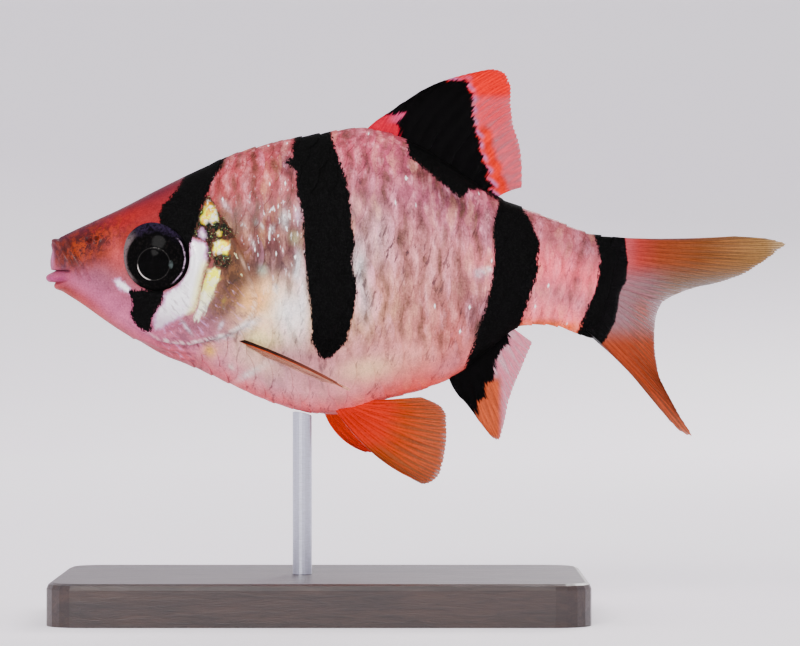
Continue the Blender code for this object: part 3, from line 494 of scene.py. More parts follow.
# (x, z, half length, half height, turn in degrees, red, green, blue, strength)
PATCHES = (
    (-28, 31.3, 1.2, 0.5, 30, 70, 35, 50, 0.75), (-26.6, 31.2, 1, 0.6, 10, 95, 45, 45, 0.55),
    (-28.2, 30.3, 1.3, 0.9, -50, 165, 68, 30, 0.6), (-26, 30.4, 1, 1, 0, 190, 96, 74, 0.5),
    (-30.45, 29.9, 0.2, 1.7, 0, 216, 182, 200, 0.9), (-29.65, 29.7, 0.55, 1.3, 15, 124, 92, 110, 0.85),
    (-28.7, 29.5, 0.5, 1.6, 25, 120, 78, 74, 0.6), (-29.6, 28.3, 0.9, 0.3, 0, 214, 136, 150, 0.8),
    (-30.3, 28.2, 1, 0.34, 0, 208, 148, 186, 1), (-29.3, 27.3, 1.7, 0.5, -38, 196, 92, 62, 0.8),
    (-27.6, 26.3, 2, 0.6, -38, 205, 96, 84, 0.6), (-24.6, 33, 2.6, 0.7, 27, 214, 78, 62, 0.7),
    (-21.9, 35.3, 2.5, 0.4, 27, 150, 45, 75, 0.7), (-25.1, 30.3, 0.7, 1.6, 10, 226, 146, 142, 0.7),
    (-26.6, 28.2, 1.7, 1.1, -20, 190, 140, 158, 0.6), (-15.6, 30.6, 1, 3.2, 8, 130, 92, 55, 0.7),
    (-14.6, 28, 0.9, 2.2, 0, 140, 98, 72, 0.8), (-13.4, 29.2, 0.9, 1.6, 0, 150, 112, 98, 0.6),
    (-16.5, 25.9, 1.2, 1.2, 30, 165, 120, 95, 0.6), (-17.8, 24.2, 2.6, 0.8, 12, 178, 130, 145, 0.7),
    (-19.6, 23.6, 2.2, 0.7, 0, 200, 150, 160, 0.6), (-12.2, 30.3, 2, 1.4, 0, 112, 82, 86, 0.9),
    (-12.4, 32.7, 2.4, 1.3, 0, 158, 70, 64, 0.84), (-9.8, 31, 0.8, 1.2, 0, 146, 112, 124, 0.6),
    (-11.9, 26.9, 1.8, 1.1, 0, 240, 206, 186, 0.85), (-13.2, 26.2, 1.7, 0.9, 0, 242, 196, 166, 0.85),
    # Painted highlight, wet white squiggles on the belly: (-13.6, 20.45) on the next line and (-15.5, 20.8)
    # on the line after it.
    (-9.6, 26, 0.45, 2.4, 0, 250, 242, 234, 0.8), (-13.6, 20.45, 1.4, 0.22, 30, 250, 240, 250, 0.9),
    (-15.5, 20.8, 0.2, 0.16, 0, 250, 224, 216, 0.9), (-12, 19.5, 1.1, 0.8, -20, 178, 146, 158, 0.6),
    (-8, 20.6, 0.14, 0.4, 0, 84, 76, 84, 0.8), (-7.95, 19.2, 0.12, 0.3, 0, 104, 92, 100, 0.7),
    # Painted glints, light caught on single scales of the shoulder: (-11.1, 33.1) on the next line and every
    # patch on the five lines after it.
    (-10.6, 25.2, 1.4, 2.4, 0, 250, 236, 222, 0.9), (-11.1, 33.1, 0.34, 0.7, 0, 246, 224, 226, 0.95),
    (-9.96, 33.4, 0.28, 0.6, 0, 236, 208, 214, 0.8), (-10.3, 31.54, 0.36, 0.42, 0, 246, 226, 206, 0.95),
    (-9.87, 29.5, 0.26, 0.85, 0, 240, 236, 228, 0.95), (-10.05, 28.4, 0.28, 0.5, 0, 232, 240, 232, 0.9),
    (-11.8, 27.3, 0.22, 0.32, 0, 240, 244, 236, 0.85), (-13.46, 32.8, 0.14, 0.2, 0, 246, 234, 228, 0.9),
    (-12.96, 32.45, 0.13, 0.22, 0, 246, 234, 228, 0.9), (-14.5, 32.5, 0.15, 0.2, 0, 240, 226, 216, 0.9),
    (-13.7, 31.1, 0.12, 0.4, 20, 236, 222, 214, 0.85), (-12.1, 32.2, 0.13, 0.35, -20, 240, 220, 222, 0.8),
    (-11.3, 31.4, 1.2, 0.25, 0, 104, 74, 78, 0.75), (-14.3, 31.8, 0.8, 1, 0, 168, 98, 70, 0.85),
    (-14.3, 30.1, 0.5, 0.5, 0, 192, 150, 108, 0.7), (-10.9, 37.6, 0.8, 1.5, 8, 112, 66, 76, 0.85),
    (-13.9, 36.9, 0.8, 0.9, 0, 176, 112, 100, 0.5), (-13.1, 23, 1.7, 1, 0, 240, 214, 194, 0.8),
    # Painted glints on the gill cover: both patches on the next line, both on the line after, and (-16.1,
    # 25.75) on the third.
    (-12.9, 28.8, 0.35, 0.42, 0, 200, 210, 204, 0.6), (-16, 34.2, 0.5, 0.2, -55, 228, 208, 210, 0.8),
    (-14.55, 29.5, 0.6, 0.12, -65, 218, 202, 192, 0.75), (-16.1, 26.3, 0.25, 0.13, 55, 244, 230, 186, 0.9),
    (-16.1, 25.75, 0.13, 0.15, 0, 238, 218, 204, 0.85), (-15.1, 32.2, 0.9, 0.8, 0, 180, 96, 54, 0.75),
    # Partly a silver streak and partly a painted highlight along the gill cover's lower rim: both patches on
    # the next line.
    (-14.1, 24.3, 1.1, 0.3, 25, 248, 238, 248, 0.9), (-16.2, 23.3, 1.2, 0.18, 15, 240, 222, 222, 0.8),
    (-19.2, 24.2, 0.7, 0.13, -50, 228, 212, 220, 0.8), (-16.3, 24.3, 0.35, 0.16, 60, 230, 212, 216, 0.8),
    (-17, 25, 1.4, 0.3, 25, 148, 96, 108, 0.6), (-15.6, 27.7, 0.8, 1.4, -8, 84, 54, 32, 0.9),
    (-16.4, 25.7, 1.2, 0.8, 20, 142, 100, 102, 0.7), (3, 23.2, 1.9, 2.4, 0, 204, 132, 126, 0.9),
    (-4.9, 29, 0.6, 2.2, 0, 226, 220, 220, 0.75), (-4.4, 26.2, 0.6, 1.6, 0, 220, 210, 212, 0.6),
    (5, 28.55, 0.22, 0.26, 0, 240, 230, 226, 0.95), (5.5, 28.7, 0.25, 0.22, 0, 240, 228, 224, 0.95),
    (5.95, 28.9, 0.22, 0.2, 0, 236, 226, 228, 0.9), (5.4, 28.5, 1, 0.6, 0, 206, 176, 190, 0.4),
    (5.6, 25.2, 0.7, 2.6, 12, 150, 112, 130, 0.5), (5.9, 32, 0.8, 2.2, 0, 150, 108, 120, 0.5),
    (0.3, 36.9, 1.8, 0.9, -36, 128, 74, 60, 0.85), (3, 34.7, 2.2, 1, -34, 112, 66, 64, 0.85),
    (-4.2, 20.6, 2.2, 0.9, 8, 232, 206, 188, 0.6), (-3.3, 31.6, 1.1, 2.4, 0, 236, 204, 204, 0.6),
    (4.7, 24.6, 0.8, 2.8, 14, 124, 86, 96, 0.7), (2.6, 20.9, 1.5, 0.8, 25, 206, 158, 160, 0.7),
    (14.3, 31, 0.8, 1, 0, 120, 80, 90, 0.5), (13.3, 28, 0.35, 0.4, 0, 110, 80, 84, 0.7),
    (11.8, 24.2, 3.2, 0.35, 0, 244, 150, 100, 0.8), (-13.4, 21.2, 2.4, 0.9, -22, 230, 204, 196, 0.7),
    (-17.3, 22.1, 0.5, 0.5, 0, 238, 200, 150, 0.8), (-20, 21.9, 2.6, 0.6, -16, 208, 125, 128, 0.7),
)


def blended(share, *stops):
    """Colours along a run of stops (share, red, green, blue)."""
    places = [stop[0] for stop in stops]
    colours = np.array([tone(*stop[1:]) for stop in stops])
    return np.column_stack([np.interp(share, places, channel) for channel in colours.T])


def flesh_tones(x, z):
    """The flesh's colour at points of the side view, before the bars and the bright marks, with painted light
    in it: the belly lightened to offset its shade, and painted glints and highlights among the patches.
    """
    low, high = smooth(BELLY_LINE, x), smooth(BACK_LINE, x)
    share = np.clip((z - low) / (high - low), 0, 1)
    places = [place for place, _ in TONE_STATIONS]
    ladder = np.array([blended(share, *tones) for _, tones in TONE_STATIONS])
    where = np.clip(np.interp(x, places, np.arange(len(places))), 0, len(places) - 1.001)
    lower, rows = where.astype(int), np.arange(len(x))
    part = ease(where - lower, 0, 1)[:, None]
    found = ladder[lower, rows] * (1 - part) + ladder[lower + 1, rows] * part
    for patch_x, patch_z, half_length, half_height, turn, *colour, strength in PATCHES:
        cosine, sine = math.cos(math.radians(turn)), math.sin(math.radians(turn))
        ahead = (x - patch_x) * cosine + (z - patch_z) * sine
        up = (z - patch_z) * cosine - (x - patch_x) * sine
        weight = strength * np.exp(-((ahead / half_length) ** 2 + (up / half_height) ** 2))[:, None]
        found = found * (1 - weight) + tone(*colour) * weight
    # painted light: lightens the belly to offset its shade
    lift = np.interp(share, *zip(*HEIGHT_SHADE_OFFSET))[:, None]
    behind_cover = 0.46 * hump(x, -12.4, 2.8) * hump(z, 25.6, 2.2)
    trunk = np.interp(x, *zip(*LENGTH_GAIN)) + behind_cover
    upper = ease(share, 0.7, 0.92) * ease(x, -19, -15)
    gain = trunk * (1 - upper) + BACK_GAIN * upper
    return np.minimum(found * lift * gain[:, None], PALEST)


def add_marks(mesh, x, z):
    """Stores on a mesh's points the colours and outlines that the flesh finish reads."""
    store(mesh, "tint", flesh_tones(x, z))
    for name, outlines in MARKS.items():
        store(mesh, name, inside_any(x, z, outlines))
    snout_dusk = ((x + 27.5) / 2.7) ** 2 + ((z - 30.9 - 0.4 * (x + 27.5)) / 1.5) ** 2
    rough = ease(z, 20.0, 25.0) * (1 - 0.5 * ease(x, 8.0, 11.0))
    for name, values in (
        ("scaled", ease(past_head(x, z), -0.2, 0.5)),
        ("margin", ease(x, -23.0, -20.5) * (1 - ease(z, 26.0, 28.5))),
        ("mosaic", ease(inside_by(x, z, MOSAIC), -0.4, 0.5)),
        ("rough", rough * (1 - 0.8 * hump(x, -12.4, 3.4) * hump(z, 25.4, 2.8))),
        ("spark", hump(x, -12.0, 2.6) * hump(z, 31.8, 4.0)),
        ("fleck", hump(x, -1.2, 3.6) * hump(z, 29.2, 3.4)),
        ("dusk", np.exp(-snout_dusk)),
    ):
        store(mesh, name, values)


# ---- Mesh helpers ----
def deselect():
    if bpy.context.object and bpy.context.object.mode != "OBJECT":
        bpy.ops.object.mode_set(mode="OBJECT")
    bpy.ops.object.select_all(action="DESELECT")


def pick(piece):
    deselect()
    piece.select_set(True)
    bpy.context.view_layer.objects.active = piece


def sheet_of_cells(name, columns, rows):
    """A new grid primitive and where its points lie, each from 0 to 1."""
    deselect()
    bpy.ops.mesh.primitive_grid_add(x_subdivisions=columns, y_subdivisions=rows, size=1)
    piece = bpy.context.object
    piece.name = piece.data.name = name
    return piece, points_of(piece.data)[:, :2] + 0.5


def points_of(mesh):
    flat = np.empty(len(mesh.vertices) * 3)
    mesh.vertices.foreach_get("co", flat)
    return flat.reshape(-1, 3)


def move_points(mesh, points):
    mesh.vertices.foreach_set("co", (np.asarray(points) * MM).ravel())
    mesh.update()


def store(mesh, name, values):
    """Keeps one number or colour for each point of a mesh."""
    values = np.asarray(values, float)
    if values.ndim == 1:
        layer = mesh.attributes.new(name, "FLOAT", "POINT")
        layer.data.foreach_set("value", values)
    else:
        layer = mesh.attributes.new(name, "FLOAT_COLOR", "POINT")
        layer.data.foreach_set("color", np.column_stack([values, np.ones(len(values))]).ravel())


def edit_all(piece, *steps):
    """Runs mesh operators, each with its settings, on the whole of a piece."""
    pick(piece)
    bpy.ops.object.mode_set(mode="EDIT")
    bpy.ops.mesh.select_all(action="SELECT")
    for operator, settings in steps:
        operator(**settings)
    bpy.ops.object.mode_set(mode="OBJECT")


def turn_out(piece):
    edit_all(piece, (bpy.ops.mesh.normals_make_consistent, {"inside": False}))


def weld(piece):
    """Joins points that lie together and turns the faces out."""
    reach = {"threshold": WELD_REACH * MM}
    edit_all(piece, (bpy.ops.mesh.remove_doubles, reach), (bpy.ops.mesh.dissolve_degenerate, reach))
    turn_out(piece)


def smooth_faces(piece, angle=60):
    pick(piece)
    bpy.ops.object.shade_smooth_by_angle(angle=math.radians(angle))


def apply_all(piece):
    pick(piece)
    for modifier in list(piece.modifiers):
        bpy.ops.object.modifier_apply(modifier=modifier.name)


def settle(piece, slot, material, *nodes):
    """Gives a finished piece its material, its body and the solids that it stands for."""
    piece.data.materials.clear()
    piece.data.materials.append(material)
    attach(piece, "root")
    if nodes:
        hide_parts(*nodes)


# ---- Finishes ----
class Wire:
    """One value on a finish's board; sums on it add the nodes that work it out."""

    def __init__(self, board, socket):
        self.board, self.socket = board, socket

    def worked(self, operation, *values):
        return self.board.node("ShaderNodeMath", {"operation": operation}, dict(enumerate(values)))

    def __add__(self, other):
        return self.worked("ADD", self, other)

    def __sub__(self, other):
        return self.worked("SUBTRACT", self, other)

    def __rsub__(self, other):
        return self.worked("SUBTRACT", other, self)

    def __mul__(self, other):
        return self.worked("MULTIPLY", self, other)

    def __pow__(self, other):
        return self.worked("POWER", self, other)

    def __abs__(self):
        return self.worked("ABSOLUTE", self)

    __radd__, __rmul__ = __add__, __mul__

    def least(self, other):
        return self.worked("MINIMUM", self, other)

    def most(self, other):
        return self.worked("MAXIMUM", self, other)

    def ease(self, low, high):
        """0 at low, 1 at high, and a smooth slope between."""
        settings = {"interpolation_type": "SMOOTHSTEP"}
        return self.board.node("ShaderNodeMapRange", settings, {0: self, 1: low, 2: high})


class Board:
    """A material under work: its nodes, and the shader that they feed."""

    def __init__(self, name, **constants):
        self.material = bpy.data.materials.new(name)
        self.material.use_nodes = True
        self.tree = self.material.node_tree
        self.shader = self.tree.nodes["Principled BSDF"]
        for key, value in constants.items():
            self.shader.inputs[key.replace("_", " ")].default_value = value

    def node(self, kind, settings=None, values=None, out=0):
        """Adds a node, sets it up, then fills its sockets with numbers or wires."""
        made = self.tree.nodes.new(kind)
        for key, value in (settings or {}).items():
            if key == "stops":
                for spot, (place, colour) in enumerate(value):
                    while len(made.color_ramp.elements) <= spot:
                        made.color_ramp.elements.new(1)
                    made.color_ramp.elements[spot].position = place
                    made.color_ramp.elements[spot].color = (*colour, 1)
            else:
                setattr(made, key, value)
        for key, value in (values or {}).items():
            self.fill(made.inputs[key], value)
        return Wire(self, made.outputs[out])

    def fill(self, socket, value):
        if isinstance(value, Wire):
            self.tree.links.new(value.socket, socket)
        else:
            socket.default_value = value

    def feed(self, **wires):
        for key, value in wires.items():
            self.fill(self.shader.inputs[key.replace("_", " ")], value)

    def stored(self, name, colour=False):
        return self.node("ShaderNodeAttribute", {"attribute_name": name}, None, 0 if colour else 2)

    def places(self, stretch=(1, 1, 1)):
        """Object coordinates in millimetres, squeezed as told."""
        spot = self.node("ShaderNodeTexCoord", None, None, 3)
        factor = tuple(1000.0 * n for n in stretch)
        return self.node("ShaderNodeVectorMath", {"operation": "MULTIPLY"}, {0: spot, 1: factor})

    def axes(self, vector):
        split = self.tree.nodes.new("ShaderNodeSeparateXYZ")
        self.tree.links.new(vector.socket, split.inputs[0])
        return [Wire(self, socket) for socket in split.outputs]

    def noise(self, vector, scale, detail=2.0, rough=0.5, twist=0.0):
        values = {"Vector": vector, "Scale": scale, "Detail": detail, "Roughness": rough}
        return self.node("ShaderNodeTexNoise", None, {**values, "Distortion": twist})

    def vector(self, x, y, z):
        return self.node("ShaderNodeCombineXYZ", None, {0: x, 1: y, 2: z})

    def mix(self, under, over, share, blend="MIX"):
        settings = {"data_type": "RGBA", "blend_type": blend}
        values = {0: share, 6: pigment(under), 7: pigment(over)}
        return self.node("ShaderNodeMix", settings, values, 2)

    def layers(self, ground, *coats):
        """A ground colour with others laid over it, each (colour, share)."""
        for over, share in coats:
            ground = self.mix(ground, over, share)
        return ground

    def bump(self, height, depth):
        """A bump of the given depth in millimetres."""
        return self.node("ShaderNodeBump", None, {"Distance": depth * MM, "Height": height})


def pigment(colour):
    """Three screen values become a pigment; anything else is ready for its socket."""
    is_screen = isinstance(colour, tuple) and len(colour) == 3
    return (*tone(*colour), 1.0) if is_screen else colour


def flesh_grain(board):
    """The noises and stored marks that the flesh finish is made from, by name."""
    spot, upright = board.places(), board.places((1.7, 1.7, 0.46))
    x, y, z = board.axes(spot)
    leaning = board.vector((x - z * 0.3) * 2.6, y, z * 0.6)
    slanting = board.vector((x + z) * 1.3, y * 1.3, (x - z) * 0.4)
    noises = {
        "mottle": (spot, 0.8, 3, 0.6), "fine": (spot, 6.5, 3, 0.7), "specks": (spot, 9.0, 2, 0.7),
        "net": (spot, 2.4, 4, 0.75, 0.6), "ragged": (spot, 3.6, 4, 0.7),
        "streaks": (upright, 1.05, 3, 0.55), "threads": (upright, 4.0, 3, 0.65),
        "sparks": (upright, 2.1, 2, 0.6), "strokes": (leaning, 1.5, 3, 0.6),
        "flow": (slanting, 1.6, 3, 0.6, 0.3),
        "blotch": (board.places((1.2, 1.2, 0.6)), 1.7, 4, 0.6, 0.3),
        "islands": (board.places((0.9, 0.9, 0.8)), 2.4, 4, 0.65, 0.3),
    }
    grain = {name: board.noise(*form) for name, form in noises.items()}
    marks = {name: board.stored(name) for name in (*MARKS, *SHADES)}
    return SimpleNamespace(x=x, z=z, **grain, **marks)


def scale_coats(board, g):
    """What a scale adds to the flesh: gain, coats under it, coats over it, and shine; its pale middle is
    partly a painted highlight, its seams partly painted shade, and its sparkles and glints are painted light.
    """
    across, along, _ = board.axes(board.node("ShaderNodeUVMap", {"uv_map": "scale"}))
    across = across * 2 - 1
    side = abs(across)
    chance, other, band = (board.stored(name) for name in ("chance", "chance2", "band"))
    back = (1 - along) * (SCALE_LENGTH / SCALE_STEP) + (g.streaks - 0.5) * 0.35
    ahead = (back - 0.2 - chance * 0.3) * (2.6 + other * 1.6)
    high = (across + (other - 0.5) * 0.5) * (1.3 + chance)
    # pearl: the pale middle of each scale's exposed part, partly its own pearly colour and partly a painted
    # highlight
    pearl = (1 - ahead * ahead - high * high + (g.threads - 0.5) * 3.6).ease(0.0, 1.6)
    band = band + (g.streaks - 0.5) * 1.8 + (g.mottle - 0.5) * 1.4
    # seam: brown streaks between the columns of scales, partly their own pigment and partly painted shade;
    # crest: the paler middle of each column, partly a painted highlight
    seam = ((g.threads - 0.5) * 1.4 - band - side * 0.4).ease(0.1, 1.1) * g.rough
    crest = (band + 0.4 - side * 0.8 + (g.threads - 0.5) * 1.2).ease(0.1, 1.2) * g.rough
    pale = pearl * 0.5 + crest * 0.5
    gain = pearl * chance * 0.16 * (0.4 + g.rough * 0.6) + crest * 0.12 - seam * (0.05 + other * 0.16)
    gain = gain + (chance - 0.5) * 0.08 + (g.threads - 0.5) * (0.16 + g.rough * 0.4)
    # pale lilac and cream on each scale's middle, partly a painted highlight, and brown in the seams, partly
    # painted shade
    under = [
        ((228, 192, 202), pale * other * 0.3),
        ((232, 200, 172), pale * (1 - other) * 0.2),
        ((134, 96, 62), seam * (1.2 - chance) * 0.5),
    ]
    dash = (g.strokes - 0.555).ease(0.0, 0.05) * back.ease(0.1, 0.5)
    speckled = (other.ease(0.2, 0.8) * 0.45 + g.fleck * 0.55).least(1.0)
    # spark: painted sparkles, small white flecks of light, laid on the shoulder's scales below
    spark = (g.sparks - 0.655 + g.spark * 0.06).ease(0.0, 0.04)
    # lucky, from_glint and glint: a painted glint, one small white highlight on some scales, more of them on
    # the shoulder
    lucky = (chance - 0.86 + (g.x + 8).ease(0.0, -6.0) * g.z.ease(30.0, 33.0) * 0.3).ease(0.0, 0.04)
    from_glint = abs(back - 0.15 - other * 0.4) * 13 + abs(across - 0.2 + chance * 0.4) * 7
    glint = (1 - from_glint).ease(0, 0.5) * lucky
    # Over the gain: dark dashes, a reddish tone on the shoulder, painted sparkles and painted glints.
    over = [
        ((74, 56, 60), dash * speckled),
        ((160, 92, 86), g.spark * 0.2),
        ((248, 232, 228), spark * g.spark * 0.85),
        ((0.97, 0.95, 0.93, 1), glint * g.rough.ease(0.1, 0.5)),
    ]
    return gain, under, over, pearl * chance * 0.2


def cheek_coats(board, g):
    """The earth, silver, gold and bright streak of the gill cover: the colour and the share of each."""
    ragged = (g.ragged - 0.5) * 0.6
    earth = board.layers(
        (20, 30, 22),
        ((112, 62, 46), (g.net - 0.44).ease(0.0, 0.2)),
        ((84, 118, 92), (g.islands - 0.56).ease(0.0, 0.08) * (31.0 - g.z).ease(0.0, 0.6)),
        ((206, 216, 186), (g.fine - 0.62).ease(0.0, 0.06) * 0.8),
    )
    silver = board.layers(
        (206, 188, 204),
        ((0.97, 0.96, 0.98, 1), (g.silver + (g.blotch - 0.5) * 1.4).ease(-0.1, 0.35)),
        ((184, 160, 178), (25.6 - g.z + (g.flow - 0.5) * 3).ease(-0.4, 1.4) * 0.6),
        ((120, 100, 118), (g.net - 0.62).ease(0.0, 0.1) * 0.4),
        ((232, 226, 190), g.streak.ease(-1.0, -0.2) * 0.7),
    )
    gold = board.layers(
        (240, 228, 172),
        ((222, 186, 96), (g.blotch - 0.44).ease(0.0, 0.16)),
        ((198, 126, 56), g.z.ease(33.3, 34.5) * 0.85),
        ((0.95, 0.95, 0.88, 1), (0.5 - g.islands).ease(0.0, 0.08) * 0.8),
        ((70, 56, 40), (g.net - 0.58).ease(0.0, 0.08) * 0.6),
    )
    streak = board.layers(
        (240, 228, 212),
        ((236, 226, 120), g.z.ease(25.6, 28.2)),
        ((0.95, 0.95, 0.9, 1), (g.islands - 0.48).ease(0.0, 0.1) * 0.5),
    )
    return (
        (earth, (g.umber + (g.net - 0.5) * 1.4).ease(-0.12, 0.16)),
        (silver, (g.silver + ragged).ease(-0.2, 0.24)),
        (gold, (g.gold + ragged * 0.6).ease(-0.14, 0.18)),
        (streak, (g.streak + (g.strokes - 0.5) * 0.9 + ragged * 0.3).ease(-0.1, 0.26)),
    )


def flesh_finish(name, scaled):
    """The fish's moist skin: flesh tones, black bars, silver cheek and gold on the gill cover."""
    board = Board(name, IOR=1.45, Coat_Roughness=0.16, Specular_IOR_Level=0.04)
    g = flesh_grain(board)
    gain = 1 + (g.mottle - 0.5) * 0.7 + (g.fine - 0.5) * (0.8 + g.rough * 0.5)
    gain = gain + (g.streaks - 0.5) * g.scaled * (0.4 + g.rough * 0.5)
    under = [
        ((118, 88, 62), (0.5 - g.streaks).ease(0.0, 0.22) * g.scaled * g.rough * 0.24),
        ((226, 196, 198), (g.streaks - 0.52).ease(0.0, 0.2) * g.scaled * g.rough * 0.22),
    ]
    over, shine = [], 0.0
    if scaled:
        more_gain, more_under, over, shine = scale_coats(board, g)
        gain, under = gain + more_gain, under + more_under
    colour = board.layers(board.stored("tint", colour=True), *under)
    flakes = board.layers(
        (104, 68, 44),
        ((158, 108, 64), (g.blotch - 0.46).ease(0.0, 0.12)),
        ((46, 50, 42), (g.islands - 0.56).ease(0.0, 0.07)),
        ((240, 228, 206), (g.flow - 0.67).ease(0.0, 0.05)),
    )
    cheek = cheek_coats(board, g)
    umber, silver, gold, streak = (share for _, share in cheek)
    below = g.margin * (1 - g.scaled)
    # rim: a painted highlight along the lower rim of the gill cover
    rim = (1 - abs(g.cover - 0.3) * 3.4).ease(0, 0.8) * g.margin
    ink = (g.ink + (g.threads - 0.5) * 0.9 + (g.fine - 0.5) * 0.3).ease(-0.08, 0.1)
    colour = board.layers(
        board.mix(colour, gain, 1.0, "MULTIPLY"),
        *over,
        ((62, 40, 40), (g.specks - 0.66 + g.rough * 0.02).ease(0.0, 0.09) * 0.4),
        ((198, 88, 34), g.dusk * (g.blotch - 0.42).ease(0.0, 0.16) * 0.75),
        ((74, 34, 34), g.dusk * (g.net - 0.45).ease(0.0, 0.12)),
        (flakes, g.mosaic * (g.net - 0.3).ease(0.0, 0.2) * 0.6),
        *cheek,
        ((220, 200, 216), below * (g.flow - 0.56).ease(0.0, 0.16) * 0.3),
        ((142, 98, 114), below * (0.48 - g.flow).ease(0.0, 0.12) * 0.5),
        # the painted highlight on the gill cover's lower rim, broken by noise
        ((236, 214, 212), rim * (g.flow - 0.36).ease(0.0, 0.3) * 0.6),
        (board.layers(PITCH, ((16, 17, 16), g.fine.ease(0.4, 0.7))), ink),
    )
    bright = (silver + (gold + streak) * 0.7).least(1.0)
    bare = 1 - ink.most(umber)
    board.feed(
        Base_Color=colour,
        Metallic=(bright * 0.45 + shine) * bare,
        Roughness=0.52 + ink * 0.2 - bright * 0.2 + (g.fine - 0.5) * 0.2,
        Coat_Weight=bare * (0.14 - g.spark * 0.11),
        Normal=board.bump(g.fine * 0.5 + g.streaks * 0.3, 0.06),
    )
    return board.material


def fin_finish(name, rough=0.42, gloss=0.05, gap=None):
    """A fin's membrane with fine fibres along its rays, coloured as the fin's points say."""
    board = Board(name, IOR=1.4, Roughness=rough, Specular_IOR_Level=gloss)
    ray, along, clear = (board.stored(word) for word in ("ray", "along", "clear"))
    strand = board.vector(board.stored("column") * 6.0, along * 2.2, 0.0)
    fibre = board.noise(strand, 1.0, 4, 0.65)
    fine = board.noise(board.places(), 6.0, 3, 0.6)
    outer = along.ease(0.3, 0.85)
    colour = board.stored("tint", colour=True)
    if gap:
        colour = board.layers(colour, (gap, (1 - ray).ease(0.35, 0.9) * outer * 0.5))
    gain = 1.03 + (fibre - 0.5) * 1.3 + (fine - 0.5) * 0.7 + (ray - 0.5) * outer * 0.34
    ink = (board.stored("ink") + (fibre - 0.5) * 1.5).ease(-0.1, 0.14)
    black = board.layers(PITCH, ((10, 9, 10), fibre))
    colour = board.layers(board.mix(colour, gain, 1.0, "MULTIPLY"), (black, ink))
    solid = clear + (ray * 0.5 + (fibre - 0.42).ease(0.0, 0.25) * 0.4) * (1 - clear)
    feather = 1 - along.ease(0.94, 1.0) * (0.6 - fibre).ease(0.0, 0.25) * 0.4
    solid = solid.most(ink * 0.98) * feather
    board.feed(
        Base_Color=colour, Alpha=solid.least(1.0), Normal=board.bump(ray + fibre * 0.6, 0.05)
    )
    return board.material


def polar(x, z):
    """How far a place is from the middle, and its angle there."""
    return (x * x + z * z) ** 0.5, z.worked("ARCTAN2", z, x)


def eye_finish(name):
    """A wet black eye with a thin silver ring round the pupil and bright arcs at its rim."""
    board = Board(name, IOR=1.4, Coat_Weight=0.012, Coat_Roughness=0.05, Specular_IOR_Level=0.01)
    spot = board.places()
    x, _, z = board.axes(spot)
    pupil_x, pupil_z = x - (EYE_X + PUPIL_X), z - (EYE_Z + PUPIL_Z)
    from_pupil, pupil_turn = polar(pupil_x, pupil_z)
    from_middle, turn = polar(x - EYE_X, z - EYE_Z)
    flecks = board.noise(spot, 5.0, 3, 0.6)
    iris = board.layers((6, 6, 7), ((32, 29, 27), flecks.ease(0.5, 0.74) * 0.7))
    low_left = (1 - abs(pupil_turn + 2.45) * 1.3).ease(0, 0.5)
    ring = (1 - abs(from_pupil - PUPIL_RADIUS) * 16).ease(0, 0.9)
    ring = ring * (0.02 + low_left * 0.9 + (flecks - 0.52).ease(0, 0.2) * 0.1)
    gleam_x, gleam_z = (pupil_x - PUPIL_RADIUS - 0.08) * 4.5, (pupil_z + 0.05) * 2.4
    gleam = (1 - gleam_x * gleam_x - gleam_z * gleam_z).ease(0, 0.8) * (flecks - 0.3).ease(0, 0.25)
    right = (1 - abs(from_middle - 2.52) * 11).ease(0, 0.8) * (1 - abs(turn + 0.1) * 1.05).ease(0, 0.5)
    left = from_middle.ease(2.22, 2.5) * (abs(turn) - 2.1).ease(0, 0.5) * (flecks - 0.2).ease(0, 0.35)
    top = (from_middle + (flecks - 0.5) * 0.9).ease(1.95, 2.75) * (1 - abs(turn - 1.5) * 0.95).ease(0, 0.5)
    colour = board.layers(
        (2, 2, 3),
        (iris, from_pupil.ease(PUPIL_RADIUS - 0.05, PUPIL_RADIUS + 0.3)),
        ((206, 204, 202), ring),
        ((92, 106, 104), gleam * 0.8),
        ((206, 198, 206), right * (flecks - 0.36).ease(0, 0.25) * 0.75),
        ((156, 142, 142), left * 0.75),
        ((52, 44, 70), top * (flecks - 0.3).ease(0, 0.3) * 0.8),
    )
    metal = (ring + right + left * 0.4).least(1.0)
    board.feed(Base_Color=colour, Metallic=metal * 0.7, Roughness=0.12 + metal * 0.2)
    return board.material


def wood_finish(name):
    board = Board(name, Coat_Weight=0.25, Coat_Roughness=0.25)
    spot = board.places((0.12, 1, 1))
    warp = board.noise(spot, 0.35, 3, 0.6, 1.2)
    grain = board.noise(spot, 2.2, 5, 0.65, 0.6)
    pores = board.noise(board.places((0.25, 3, 3)), 3.5, 2, 0.6)
    colour = board.layers(
        (70, 44, 32),
        ((36, 22, 17), (warp * 0.6 + grain * 0.5).ease(0.35, 0.7)),
        ((18, 12, 10), pores.ease(0.6, 0.72) * 0.7),
    )
    board.feed(
        Base_Color=colour, Roughness=0.38 + grain * 0.2, Normal=board.bump(grain + pores * 0.5, 0.04)
    )
    return board.material


def steel_finish(name):
    board = Board(name, Metallic=1.0)
    lines = board.noise(board.places((1, 1, 14)), 1.6, 3, 0.6)
    colour = board.layers((180, 182, 186), ((206, 208, 212), lines))
    board.feed(Base_Color=colour, Roughness=0.24 + lines * 0.2, Normal=board.bump(lines, 0.01))
    return board.material


def studio_finish(name, red, green, blue):
    board = Board(name, Roughness=0.9, Specular_IOR_Level=0.1, Emission_Strength=STUDIO_GLOW)
    board.shader.inputs["Emission Color"].default_value = (1.0, 0.99, 1.02, 1)
    soft = board.noise(board.places(), 0.01, 2, 0.5)
    lighter = (red + 5, green + 5, blue + 4)
    board.feed(Base_Color=board.layers((red, green, blue), (lighter, soft)))
    return board.material


